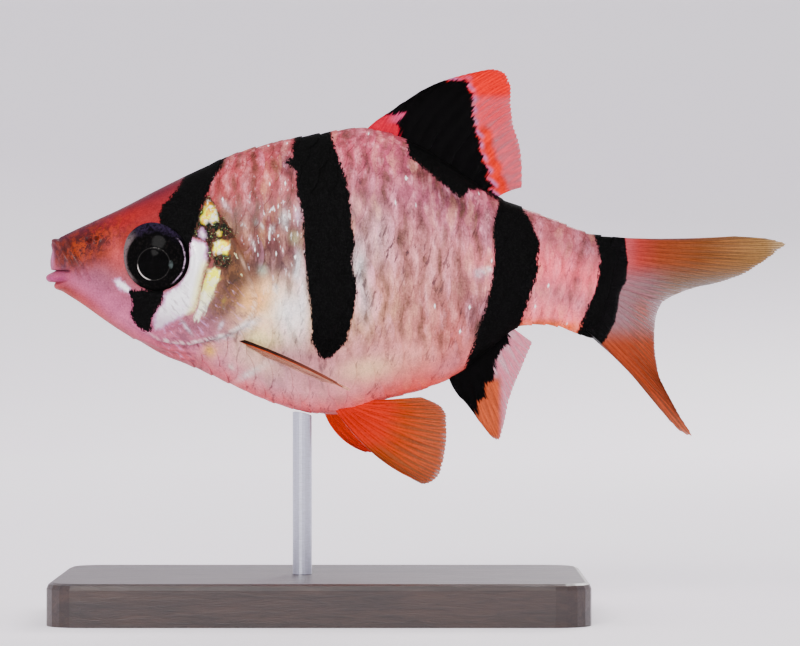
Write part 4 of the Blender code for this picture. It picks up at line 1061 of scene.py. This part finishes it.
# ---- Skin ----
def make_skin(material):
    """One closed skin from lips to tail root, with the head's folds raised and sunk in it."""
    skin, flat = sheet_of_cells("skin", SKIN_RINGS, SKIN_SIDES)
    station = np.clip(smooth(RING_STATIONS, flat[:, 0]), SNOUT_X, STEM_END_X)
    station[flat[:, 0] < 1e-6] = SNOUT_X
    station[flat[:, 0] > 1 - 1e-6] = STEM_END_X
    points, out = body_surface(station, flat[:, 1])
    x, z = side_view(points)
    rise = head_relief(x, z) - SKIN_SINK * ease(past_head(x, z), -0.2, 0.8)
    move_points(skin.data, points + out * rise[:, None])
    add_marks(skin.data, x, z)
    weld(skin)
    smooth_faces(skin, 80)
    flesh = ("head", "lower_jaw", "trunk", "tail_stem", "gill_cover_left", "gill_cover_right")
    settle(skin, "skin", material, *flesh)


# ---- Scales ----
def scale_plate():
    """One scale, modelled flat: its points (across, along, up), its faces and its patch of the map."""
    plate, flat = sheet_of_cells("scale", *PLATE_CELLS)
    across, along = 2 * flat[:, 0] - 1, flat[:, 1]
    edge = 1 - 0.6 * (1 - np.sqrt(1 - 0.97 * across**2))
    move_points(plate.data, np.column_stack([across, along * edge, 0 * along]) / MM)
    wall = plate.modifiers.new("wall", "SOLIDIFY")
    wall.thickness = SCALE_WALL
    wall.offset = -1
    apply_all(plate)
    mesh = plate.data
    points = points_of(mesh)
    faces = [tuple(face.vertices) for face in mesh.polygons]
    patch = []
    for face in mesh.polygons:
        for corner in face.vertices:
            p, q, h = points[corner]
            if face.normal.z > 0.5:
                patch.append(((p + 1) / 2, 0.8 * q))
            elif face.normal.z < -0.5:
                patch.append(((p + 1) / 2, 0.9 + 0.1 * q))
            else:
                patch.append(((p + 1) / 4 + q / 2, 0.82 + 0.04 * (h < -SCALE_WALL / 2)))
    bpy.data.objects.remove(plate)
    return points, faces, np.array(patch)


def surface_table():
    """For stations along the body, the way round v that lies each distance above the lateral line."""
    stations = np.linspace(TABLE_START_X, STEM_END_X - 0.02, TABLE_STATIONS)
    heights = np.arange(-TABLE_REACH, TABLE_REACH + TABLE_STEP / 20, TABLE_STEP)
    v = np.linspace(*TABLE_TURNS)
    left = (v > 0.02) & (v < 0.48)
    table, tops, bottoms = [], [], []
    for s in stations:
        points = body_point(np.full_like(v, s), v)
        length = np.concatenate([[0], np.cumsum(np.linalg.norm(np.diff(points, axis=0), axis=1))])
        level = smooth(LATERAL_LINE, s)[0]
        middle = np.interp(-level, -points[left, 2], length[left])
        table.append(np.interp(heights, (middle - length)[::-1], v[::-1]))
        tops.append(middle - np.interp(0.0, v, length))
        bottoms.append(middle - np.interp(0.5, v, length))
    return stations, heights, np.array(table), np.array(tops), np.array(bottoms)


def way_round(table, s, w):
    """v for stations s and distances w above the lateral line."""
    stations, heights, grid = table[:3]
    i = np.clip((s - stations[0]) / (stations[1] - stations[0]), 0, len(stations) - 1.001)
    j = np.clip((w - heights[0]) / (heights[1] - heights[0]), 0, len(heights) - 1.001)
    i0, j0 = i.astype(int), j.astype(int)
    a, b = i - i0, j - j0
    low = grid[i0, j0] * (1 - b) + grid[i0, j0 + 1] * b
    high = grid[i0 + 1, j0] * (1 - b) + grid[i0 + 1, j0 + 1] * b
    return low * (1 - a) + high * a


def scale_columns():
    """The stations of the free edges, from behind the head to the tail fin's root."""
    columns = [FIRST_SCALE_X]
    while columns[-1] < STEM_END_X + 0.1:
        here = columns[-1]
        columns.append(here + SCALE_STEP / 2 * float(smooth(CROWDING, here)[0]))
    return columns


def scale_places(table, columns):
    """Where each scale's free edge has its middle: (station, row)."""
    stations, _, _, tops, bottoms = table
    places, spare = [], 0.3 * SCALE_ROW
    for number, edge_x in enumerate(columns):
        crowd = float(smooth(CROWDING, edge_x)[0])
        top, bottom = np.interp(edge_x, stations, tops), np.interp(edge_x, stations, bottoms)
        s = np.array([min(edge_x, LAST_SCALE_X)])
        for row in SCALE_ROWS:
            w = row * SCALE_ROW * crowd
            if (row + number) % 2 or not bottom - spare < w < top + spare:
                continue
            x, z = side_view(body_point(s, way_round(table, s, np.array([w]))))
            if past_head(x, z)[0] > 0.45 * SCALE_STEP - 0.25:
                places.append((edge_x, row))
    return places


def lay_scales(plate, table, edge_x, row, luck, side):
    """The plate's points laid on the body, once for each scale: stations, points and side view."""
    p, q, h = np.tile(plate, (len(edge_x) // len(plate), 1)).T
    crowd = smooth(CROWDING, edge_x)
    s = edge_x + SLIP_ALONG * luck[:, 0] - (1 - q) * SCALE_LENGTH * crowd
    s = np.clip(s, TABLE_START_X + 0.1, LAST_SCALE_X)
    w = (row + SLIP_ACROSS * luck[:, 1]) * SCALE_ROW * smooth(CROWDING, s)
    w = w - side * p * SCALE_ROW * SCALE_OVERLAP * crowd * (1 + BREADTH_SPREAD * luck[:, 2])
    points, out = body_surface(s, way_round(table, s, w) * side)
    x, z = side_view(points)
    rise = SCALE_RISE * (0.45 + 0.55 * ease(z, 19.5, 24.5))
    lift = -SCALE_SINK + (rise + SCALE_SINK) * q - SCALE_BOW * p**2
    lift += HEIGHT_SPREAD * luck[:, 3] + TILT_SPREAD * p * luck[:, 4] + h
    lift -= STEM_TUCK * ease(s, STEM_END_X - 1.6, STEM_END_X - 0.2)
    return s, points + out * lift[:, None], x, z


def add_map(mesh, name, places):
    mesh.uv_layers.new(name=name).data.foreach_set("uv", places.ravel())


def make_scales(material):
    """Overlapping scales in rows along each flank, joined into one piece for each region."""
    plate, faces, patch = scale_plate()
    table, columns = surface_table(), scale_columns()
    places = scale_places(table, columns)
    count, corners = len(plate), np.array(faces).ravel()
    plate_map = np.column_stack([(plate[:, 0] + 1) / 2, plate[:, 1]])[corners]
    for side, word in ((1, "left"), (-1, "right")):
        for region, lowest, highest in (("back", 0, 99), ("belly", -99, -1)):
            chosen = np.array([place for place in places if lowest <= place[1] <= highest])
            edge_x, row = chosen.repeat(count, axis=0).T
            luck = LUCK.uniform(-1, 1, (len(chosen), 6)).repeat(count, axis=0)
            s, points, x, z = lay_scales(plate, table, edge_x, row, luck, side)
            mesh = bpy.data.meshes.new(f"scales_{word}_{region}")
            joined = np.array(faces) + np.arange(len(chosen))[:, None, None] * count
            mesh.from_pydata((points * MM).tolist(), [], joined.reshape(-1, 4).tolist())
            add_marks(mesh, x, z)
            column = np.interp(s, columns, np.arange(len(columns)) / 2)
            bend = 0.12 * np.sin(1.9 * z + 0.7 * x) + 0.1 * np.sin(0.8 * z - 1.1 * x)
            store(mesh, "band", np.cos(2 * math.pi * (column + bend)))
            store(mesh, "chance", luck[:, 5] * 0.5 + 0.5)
            store(mesh, "chance2", luck[:, 0] * 0.5 + 0.5)
            add_map(mesh, "scale", np.tile(plate_map, (len(chosen), 1)))
            root = ((chosen + MAP_SHIFT) / MAP_SPAN).repeat(len(corners), axis=0)
            add_map(mesh, "OFBake", root + np.tile(patch * MAP_PATCH, (len(chosen), 1)))
            piece = bpy.data.objects.new(mesh.name, mesh)
            bpy.context.scene.collection.objects.link(piece)
            smooth_faces(piece, 50)
            settle(piece, "skin", material)


# ---- Fins ----
def ray_crest(column, run, plain):
    """1 on a ray's crest and 0 beside it; each soft ray forks twice on its way out."""
    number = np.rint(column)
    off = column - number
    soft = np.where(number >= plain, 1.0, 0.0)
    fork = FORK_SPREAD * ease(run, 0.3, 0.85) * soft
    twig = TWIG_SPREAD * ease(run, 0.55, 1.0) * soft
    near = np.min([np.abs(off - a * fork - b * twig) for a in (-1, 1) for b in (-1, 1)], axis=0)
    width = RAY_WIDTH - RAY_NARROWING * ease(run, 0.2, 1.0) * (0.4 + 0.6 * soft)
    return np.exp(-((near / width) ** 2))


def fin_path(path):
    """A fin's line as (share, x, y, z); a middle fin's follows the body's middle plane."""
    path = np.array(path, float)
    if path.shape[1] == 3:
        path = np.column_stack([path[:, :2], swing(path[:, 1]), path[:, 2]])
    return path


def as_seen(tips):
    """Moves a middle fin's tips out or in, so that the camera sees them at their x and z."""
    away = 1 - tips[:, 2] / VIEW_POINT[1]
    tips[:, 1] = VIEW_POINT[0] + (tips[:, 1] - VIEW_POINT[0]) * away
    tips[:, 3] = VIEW_POINT[2] + (tips[:, 3] - VIEW_POINT[2]) * away
    return tips


def thicken(piece, wanted, most):
    """Gives a sheet its thickness, in millimetres at each point."""
    group = piece.vertex_groups.new(name="thick")
    steps = np.rint(wanted / most * THICKNESS_STEPS).astype(int)
    for step in np.unique(steps):
        group.add(np.flatnonzero(steps == step).tolist(), step / THICKNESS_STEPS, "REPLACE")
    shell = piece.modifiers.new("thick", "SOLIDIFY")
    shell.thickness, shell.offset, shell.vertex_group = most * MM, 0, group.name
    apply_all(piece)
    piece.vertex_groups.clear()
    turn_out(piece)


def make_fin(
    name, slot, material, root, tips, count, painter, bow=(0, 0, 0), rows=64, cells=16, plain=1,
    fray=0.014, even=False, swell=0.0, taper=1.0,
):
    """A thin membrane with forking rays raised in it, from its root in the body to a frayed edge."""
    fin, flat = sheet_of_cells(name, (count - 1) * cells, rows)
    share, run = flat[:, 0], flat[:, 1]
    column = share * (count - 1)
    in_middle = len(root[0]) == 3
    root, tips = fin_path(root), fin_path(tips)
    if in_middle:
        tips = as_seen(tips)
    start, end = smooth(root, share), smooth(tips, share)
    length = np.linalg.norm(end - start, axis=1)[:, None]
    start = start - (end - start) / length * ROOT_SINK
    crest = ray_crest(column, run, plain)
    last = ray_crest(column, np.ones_like(run), plain)
    knots = np.arange(EDGE_KNOTS)
    luck = LUCK.uniform(0, 1, EDGE_KNOTS)
    torn = np.interp(column * 4, knots, luck)
    reach = 1 - fray * (1 - last) * (0.5 + torn) - 0.5 * fray * np.interp(column * 2, knots, luck)
    out = (run * reach)[:, None]
    bent = length / length.max() if even else (1 - share)[:, None]
    points = start + (end - start) * out + 4 * out * (1 - out) * bent * np.array(bow)
    across = np.cross(end - start, smooth(tips, share + 0.02) - smooth(tips, share - 0.02))
    across /= np.maximum(np.linalg.norm(across, axis=1), 1e-9)[:, None]
    ripple = np.sin(share * 9 + run * 2.0) * 0.7 + np.sin(share * 23 + 1.7) * 0.3
    points += across * (FIN_WAVE * ripple * run**2)[:, None]
    move_points(fin.data, points)
    x, z = seen_from_side(points, points[:, 1])
    tints, clear, ink = painter(x, z, share, run)
    store(fin.data, "tint", tints)
    for key, values in zip(("clear", "ink", "ray", "along", "column"), (clear, ink, crest, run, column)):
        store(fin.data, key, values)
    past = run * (length[:, 0] + ROOT_SINK) - ROOT_SINK
    wanted = MEMBRANE * (1 - 0.5 * run) + swell * (1 - ease(past, -0.3, taper))
    wanted += RAY_HEIGHT * crest * (1 - 0.72 * run) * ease(past, 0.2 * taper, 1.2 * taper)
    thicken(fin, wanted, THICKEST + swell)
    smooth_faces(fin, 70)
    settle(fin, slot, material, name)


# Each painter takes a fin's points on the side view, their share of the way along its root and how far
# out they run, and gives their colours, how solid they are and how far inside the black they lie.
def none(x):
    """Far outside the black."""
    return np.full(x.shape, -3.0)


def stem_ink(x, z):
    """The stem's bar, running out a little on the root of the tail fin."""
    return 3 * inside_by(x, z, BAR_STEM) + 0.6


def as_tone(colour):
    return colour if isinstance(colour, np.ndarray) else tone(*colour)[None, :]


def washed(ground, *layers):
    """A ground colour with other colours laid over it, each where its weight says."""
    found = as_tone(ground)
    for weight, colour in layers:
        found = found * (1 - weight[:, None]) + as_tone(colour) * weight[:, None]
    return found


def paint_dorsal(x, z, share, run):
    ink = inside_by(x, z, INK_DORSAL)
    top, front = ease(z, 42.8, 43.7), 1 - ease(x, -1.2, 0.4)
    beside_ink = ease(ink, -1.35, -0.75) * (1 - ease(z, 40.3, 41.3))
    ink_edge = hump(ink, -0.12, 0.2) * (1 + 0.7 * np.sin(7 * z + 3 * x)) * (1 - front)
    tints = washed(
        (210, 116, 122),
        (hump(z, 42.0, 1.5) * (1 - ease(x, 6.6, 8.4)), (224, 98, 100)),
        (top, (232, 72, 58)),
        (beside_ink, (226, 90, 64)),
        (front, (216, 66, 78)),
        (0.7 * front * ease(z, 40.9, 41.3) * hump(x, -1.5, 0.7), (212, 136, 164)),
        (0.5 * ink_edge, (190, 156, 182)),
    )
    return tints, 0.66 + 0.3 * np.maximum(np.maximum(top, front), beside_ink), ink


def paint_anal(x, z, share, run):
    orange = (1 - ease(x, 6.6, 7.3)) * (1 - ease(z, 19.4, 20.4))
    tints = washed((206, 152, 162), (orange, (204, 120, 80)))
    return tints, 0.55 + 0.4 * orange, inside_by(x, z, INK_ANAL)


def paint_upper_lobe(x, z, share, run):
    high = ease(z, 27.5, 29.7)
    upper = blended(
        x, (17.4, 202, 112, 112), (18.4, 198, 88, 72), (20.2, 176, 84, 46), (23.5, 164, 92, 44),
        (26, 170, 120, 68), (29, 180, 146, 98), (30.7, 196, 180, 156),
    )
    lower = blended(x, (17, 178, 128, 134), (19.5, 166, 126, 128), (21.5, 158, 124, 100), (27, 166, 142, 110))
    rim = hump(z, 31.5, 0.14) * ease(x, 18.6, 19.6) * (1 - ease(x, 22.0, 24.0))
    tints = washed(lower, (high, upper), (0.8 * rim, (120, 88, 98)))
    return tints, 0.74 + 0.22 * high - 0.3 * ease(run, 0.7, 1.0) * (1 - high), stem_ink(x, z)


def paint_lower_lobe(x, z, share, run):
    low = 1 - ease(z, 22.6, 24.8)
    orange = blended(
        z, (14.8, 204, 144, 120), (15.6, 196, 118, 84), (17, 184, 88, 52), (19.5, 180, 76, 34),
        (22.5, 188, 88, 50), (24.5, 190, 116, 88),
    )
    streaky = hump(x, 18.8, 0.8) * hump(z, 25.3, 1.2)
    tints = washed((170, 128, 132), (0.6 * streaky, (188, 112, 86)), (low, orange))
    tints = tints * (1 - 0.35 * ease(share, 0.9, 1.0) * ease(z, 17.5, 19.0))[:, None]
    return tints, 0.72 + 0.24 * low - 0.3 * ease(run, 0.7, 1.0) * (1 - low), stem_ink(x, z)


def paint_pelvic(x, z, share, run):
    tints = blended(
        run, (0, 222, 80, 38), (0.45, 214, 76, 28), (0.62, 204, 88, 38), (0.85, 196, 100, 54),
        (1, 198, 106, 60),
    )
    lower = (1 - ease(share, 0.1, 0.35)) * ease(run, 0.35, 0.6)
    tints = washed(tints, (0.8 * lower, (176, 78, 26)))
    return tints, 0.96 - 0.1 * ease(run, 0.6, 1.0), none(x)


# Painted light: the far pelvic fin is painted paler than the near one, standing in for light shining through
# it and offsetting the shade it lies in.
def paint_far_pelvic_backlit(x, z, share, run):
    return blended(run, (0, 250, 150, 104), (1, 252, 138, 118)), np.full(x.shape, 0.95), none(x)


def paint_pectoral(x, z, share, run):
    wide = 0.07 + 0.07 * ease(run, 0.06, 0.35)
    front = 1 - ease(share, wide, wide + 0.09)
    core = 1 - ease(share, 0.05, 0.1)
    pale = blended(run, (0, 200, 160, 140), (1, 214, 190, 176))
    orange = blended(run, (0, 120, 62, 32), (0.3, 236, 140, 70), (0.6, 214, 112, 62), (1, 178, 96, 70))
    dark = blended(run, (0, 26, 16, 14), (0.5, 62, 34, 24), (0.8, 120, 60, 44), (1, 160, 90, 70))
    return washed(pale, (front, washed(orange, (core, dark)))), 0.06 + 0.92 * front, none(x)


def mirrored(path):
    return [(share, x, -y, z) for share, x, y, z in path]


def make_fins():
    black = "fin_black", fin_finish("fin_black_and_red", gloss=0.015)
    orange = "fin_orange", fin_finish("fin_orange", gap=(140, 100, 74))
    red = "fin_red", fin_finish("fin_red", gap=(132, 92, 46))
    glassy = "fin_clear", fin_finish("fin_clear", 0.3)
    make_fin(
        "fin_dorsal", *black, DORSAL_ROOT, DORSAL_TIPS, 13, paint_dorsal, (-0.5, 0, 0.9), plain=3,
        even=True,
    )
    make_fin("fin_anal", *black, ANAL_ROOT, ANAL_TIPS, 9, paint_anal, (-0.2, 0, -0.3), plain=2)
    lobe = {"fray": 0.012, "rows": 80, "swell": 1.3, "taper": 2.6}
    make_fin(
        "fin_tail_upper", *orange, UPPER_LOBE_ROOT, UPPER_LOBE_TIPS, 12, paint_upper_lobe,
        (0, 0, -0.15), **lobe,
    )
    make_fin(
        "fin_tail_lower", *orange, LOWER_LOBE_ROOT, LOWER_LOBE_TIPS, 12, paint_lower_lobe,
        (0.22, 0, 0.22), plain=0, even=True, **lobe,
    )
    make_fin(
        "fin_pelvic_left", *red, PELVIC_ROOT_LEFT, PELVIC_TIPS_LEFT, 9, paint_pelvic,
        (-0.3, 0, -0.75), fray=0.01,
    )
    make_fin(
        "fin_pelvic_right", *red, PELVIC_ROOT_RIGHT, PELVIC_TIPS_RIGHT, 9, paint_far_pelvic_backlit,
        (-0.5, 0, -0.6), fray=0.01,
    )
    for name, turned in (("fin_pectoral_left", list), ("fin_pectoral_right", mirrored)):
        make_fin(
            name, *glassy, turned(PECTORAL_ROOT), turned(PECTORAL_TIPS), 12, paint_pectoral,
            (0, 0, 0.34), cells=12, rows=48, fray=0.04,
        )


# ---- Eyes ----
def make_eye(name, side, material):
    """A flattened ball with the cornea's rise and the pupil's fine ring standing in it."""
    deselect()
    bpy.ops.mesh.primitive_uv_sphere_add(segments=EYE_SEGMENTS, ring_count=EYE_SEGMENTS, radius=1)
    eye = bpy.context.object
    eye.name = eye.data.name = name
    unit = points_of(eye.data)
    across, up, out = unit[:, 0] * EYE_RADIUS, unit[:, 1] * EYE_RADIUS, unit[:, 2] * EYE_DEPTH
    from_pupil = np.hypot(across - PUPIL_X, up - PUPIL_Z)
    bulge = CORNEA_RISE * (1 - ease(from_pupil, 0.2, CORNEA_RADIUS))
    bulge += PUPIL_RIM * hump(from_pupil, PUPIL_RADIUS, 0.07)
    out = out + np.where(unit[:, 2] > 0, bulge, 0)
    forward = np.array([-math.sin(EYE_TURN), side * math.cos(EYE_TURN), 0])
    sideways = np.array([math.cos(EYE_TURN), side * math.sin(EYE_TURN), 0])
    centre = np.array([EYE_X, side * EYE_OUT, EYE_Z])
    points = centre + across[:, None] * sideways + out[:, None] * forward
    points[:, 2] += up
    move_points(eye.data, points)
    weld(eye)
    smooth_faces(eye, 80)
    settle(eye, "eye", material, name)


# ---- Stand, studio and camera ----
def finish_stand():
    wood, steel = wood_finish("stand_wood_satin"), steel_finish("stand_steel_satin")
    for node, material in (("stand_base", wood), ("stand_rod", steel)):
        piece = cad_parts[node]
        for slot in piece.material_slots:
            slot.material = material


def make_studio():
    """A pale round floor that sweeps up into a plain wall on every side."""
    floor, flat = sheet_of_cells("studio_floor", 96, 40)
    turn, run = 2 * math.pi * flat[:, 0], flat[:, 1]
    bend = math.pi / 2 * BEND_RADIUS
    length = run * (FLOOR_RADIUS + bend + WALL_HEIGHT)
    past = np.clip((length - FLOOR_RADIUS) / BEND_RADIUS, 0, math.pi / 2)
    reach = np.minimum(length, FLOOR_RADIUS) + BEND_RADIUS * np.sin(past)
    z = BEND_RADIUS * (1 - np.cos(past)) + np.maximum(length - FLOOR_RADIUS - bend, 0)
    move_points(floor.data, np.column_stack([reach * np.cos(turn), reach * np.sin(turn), z]))
    weld(floor)
    smooth_faces(floor, 60)
    floor.data.materials.append(studio_finish("studio_pale", 214, 212, 218))


def make_lamp(name, place, size, power, colour):
    lamp = bpy.data.lights.new(name, "AREA")
    lamp.shape, lamp.size, lamp.energy, lamp.color = "DISK", size * MM, power, colour
    holder = bpy.data.objects.new(name, lamp)
    bpy.context.scene.collection.objects.link(holder)
    holder.location = Vector(place) * MM
    aim = Vector(LAMP_AIM) * MM - holder.location
    holder.rotation_euler = aim.to_track_quat("-Z", "Y").to_euler()


def make_lights():
    for lamp in LAMPS:
        make_lamp(*lamp)
    world = bpy.data.worlds.new("soft_room")
    world.use_nodes = True
    world.node_tree.nodes["Background"].inputs["Color"].default_value = ROOM_COLOUR
    world.node_tree.nodes["Background"].inputs["Strength"].default_value = ROOM_GLOW
    bpy.context.scene.world = world


def make_camera():
    eye = bpy.data.cameras.new("camera")
    eye.sensor_width, eye.sensor_fit = SENSOR_WIDTH, "HORIZONTAL"
    eye.lens = SENSOR_WIDTH * -VIEW_POINT[1] / VIEW_WIDTH
    eye.clip_start, eye.clip_end = 0.01, 20.0
    holder = bpy.data.objects.new("camera", eye)
    bpy.context.scene.collection.objects.link(holder)
    holder.location = Vector(VIEW_POINT) * MM
    holder.rotation_euler = (math.radians(90), 0, 0)
    bpy.context.scene.camera = holder


make_camera()
make_studio()
make_lights()
make_skin(flesh_finish("skin_flesh", scaled=False))
make_scales(flesh_finish("scale_flesh", scaled=True))
eye_material = eye_finish("eye_wet")
for eye_name, eye_side in (("eye_left", -1), ("eye_right", 1)):
    make_eye(eye_name, eye_side, eye_material)
make_fins()
finish_stand()
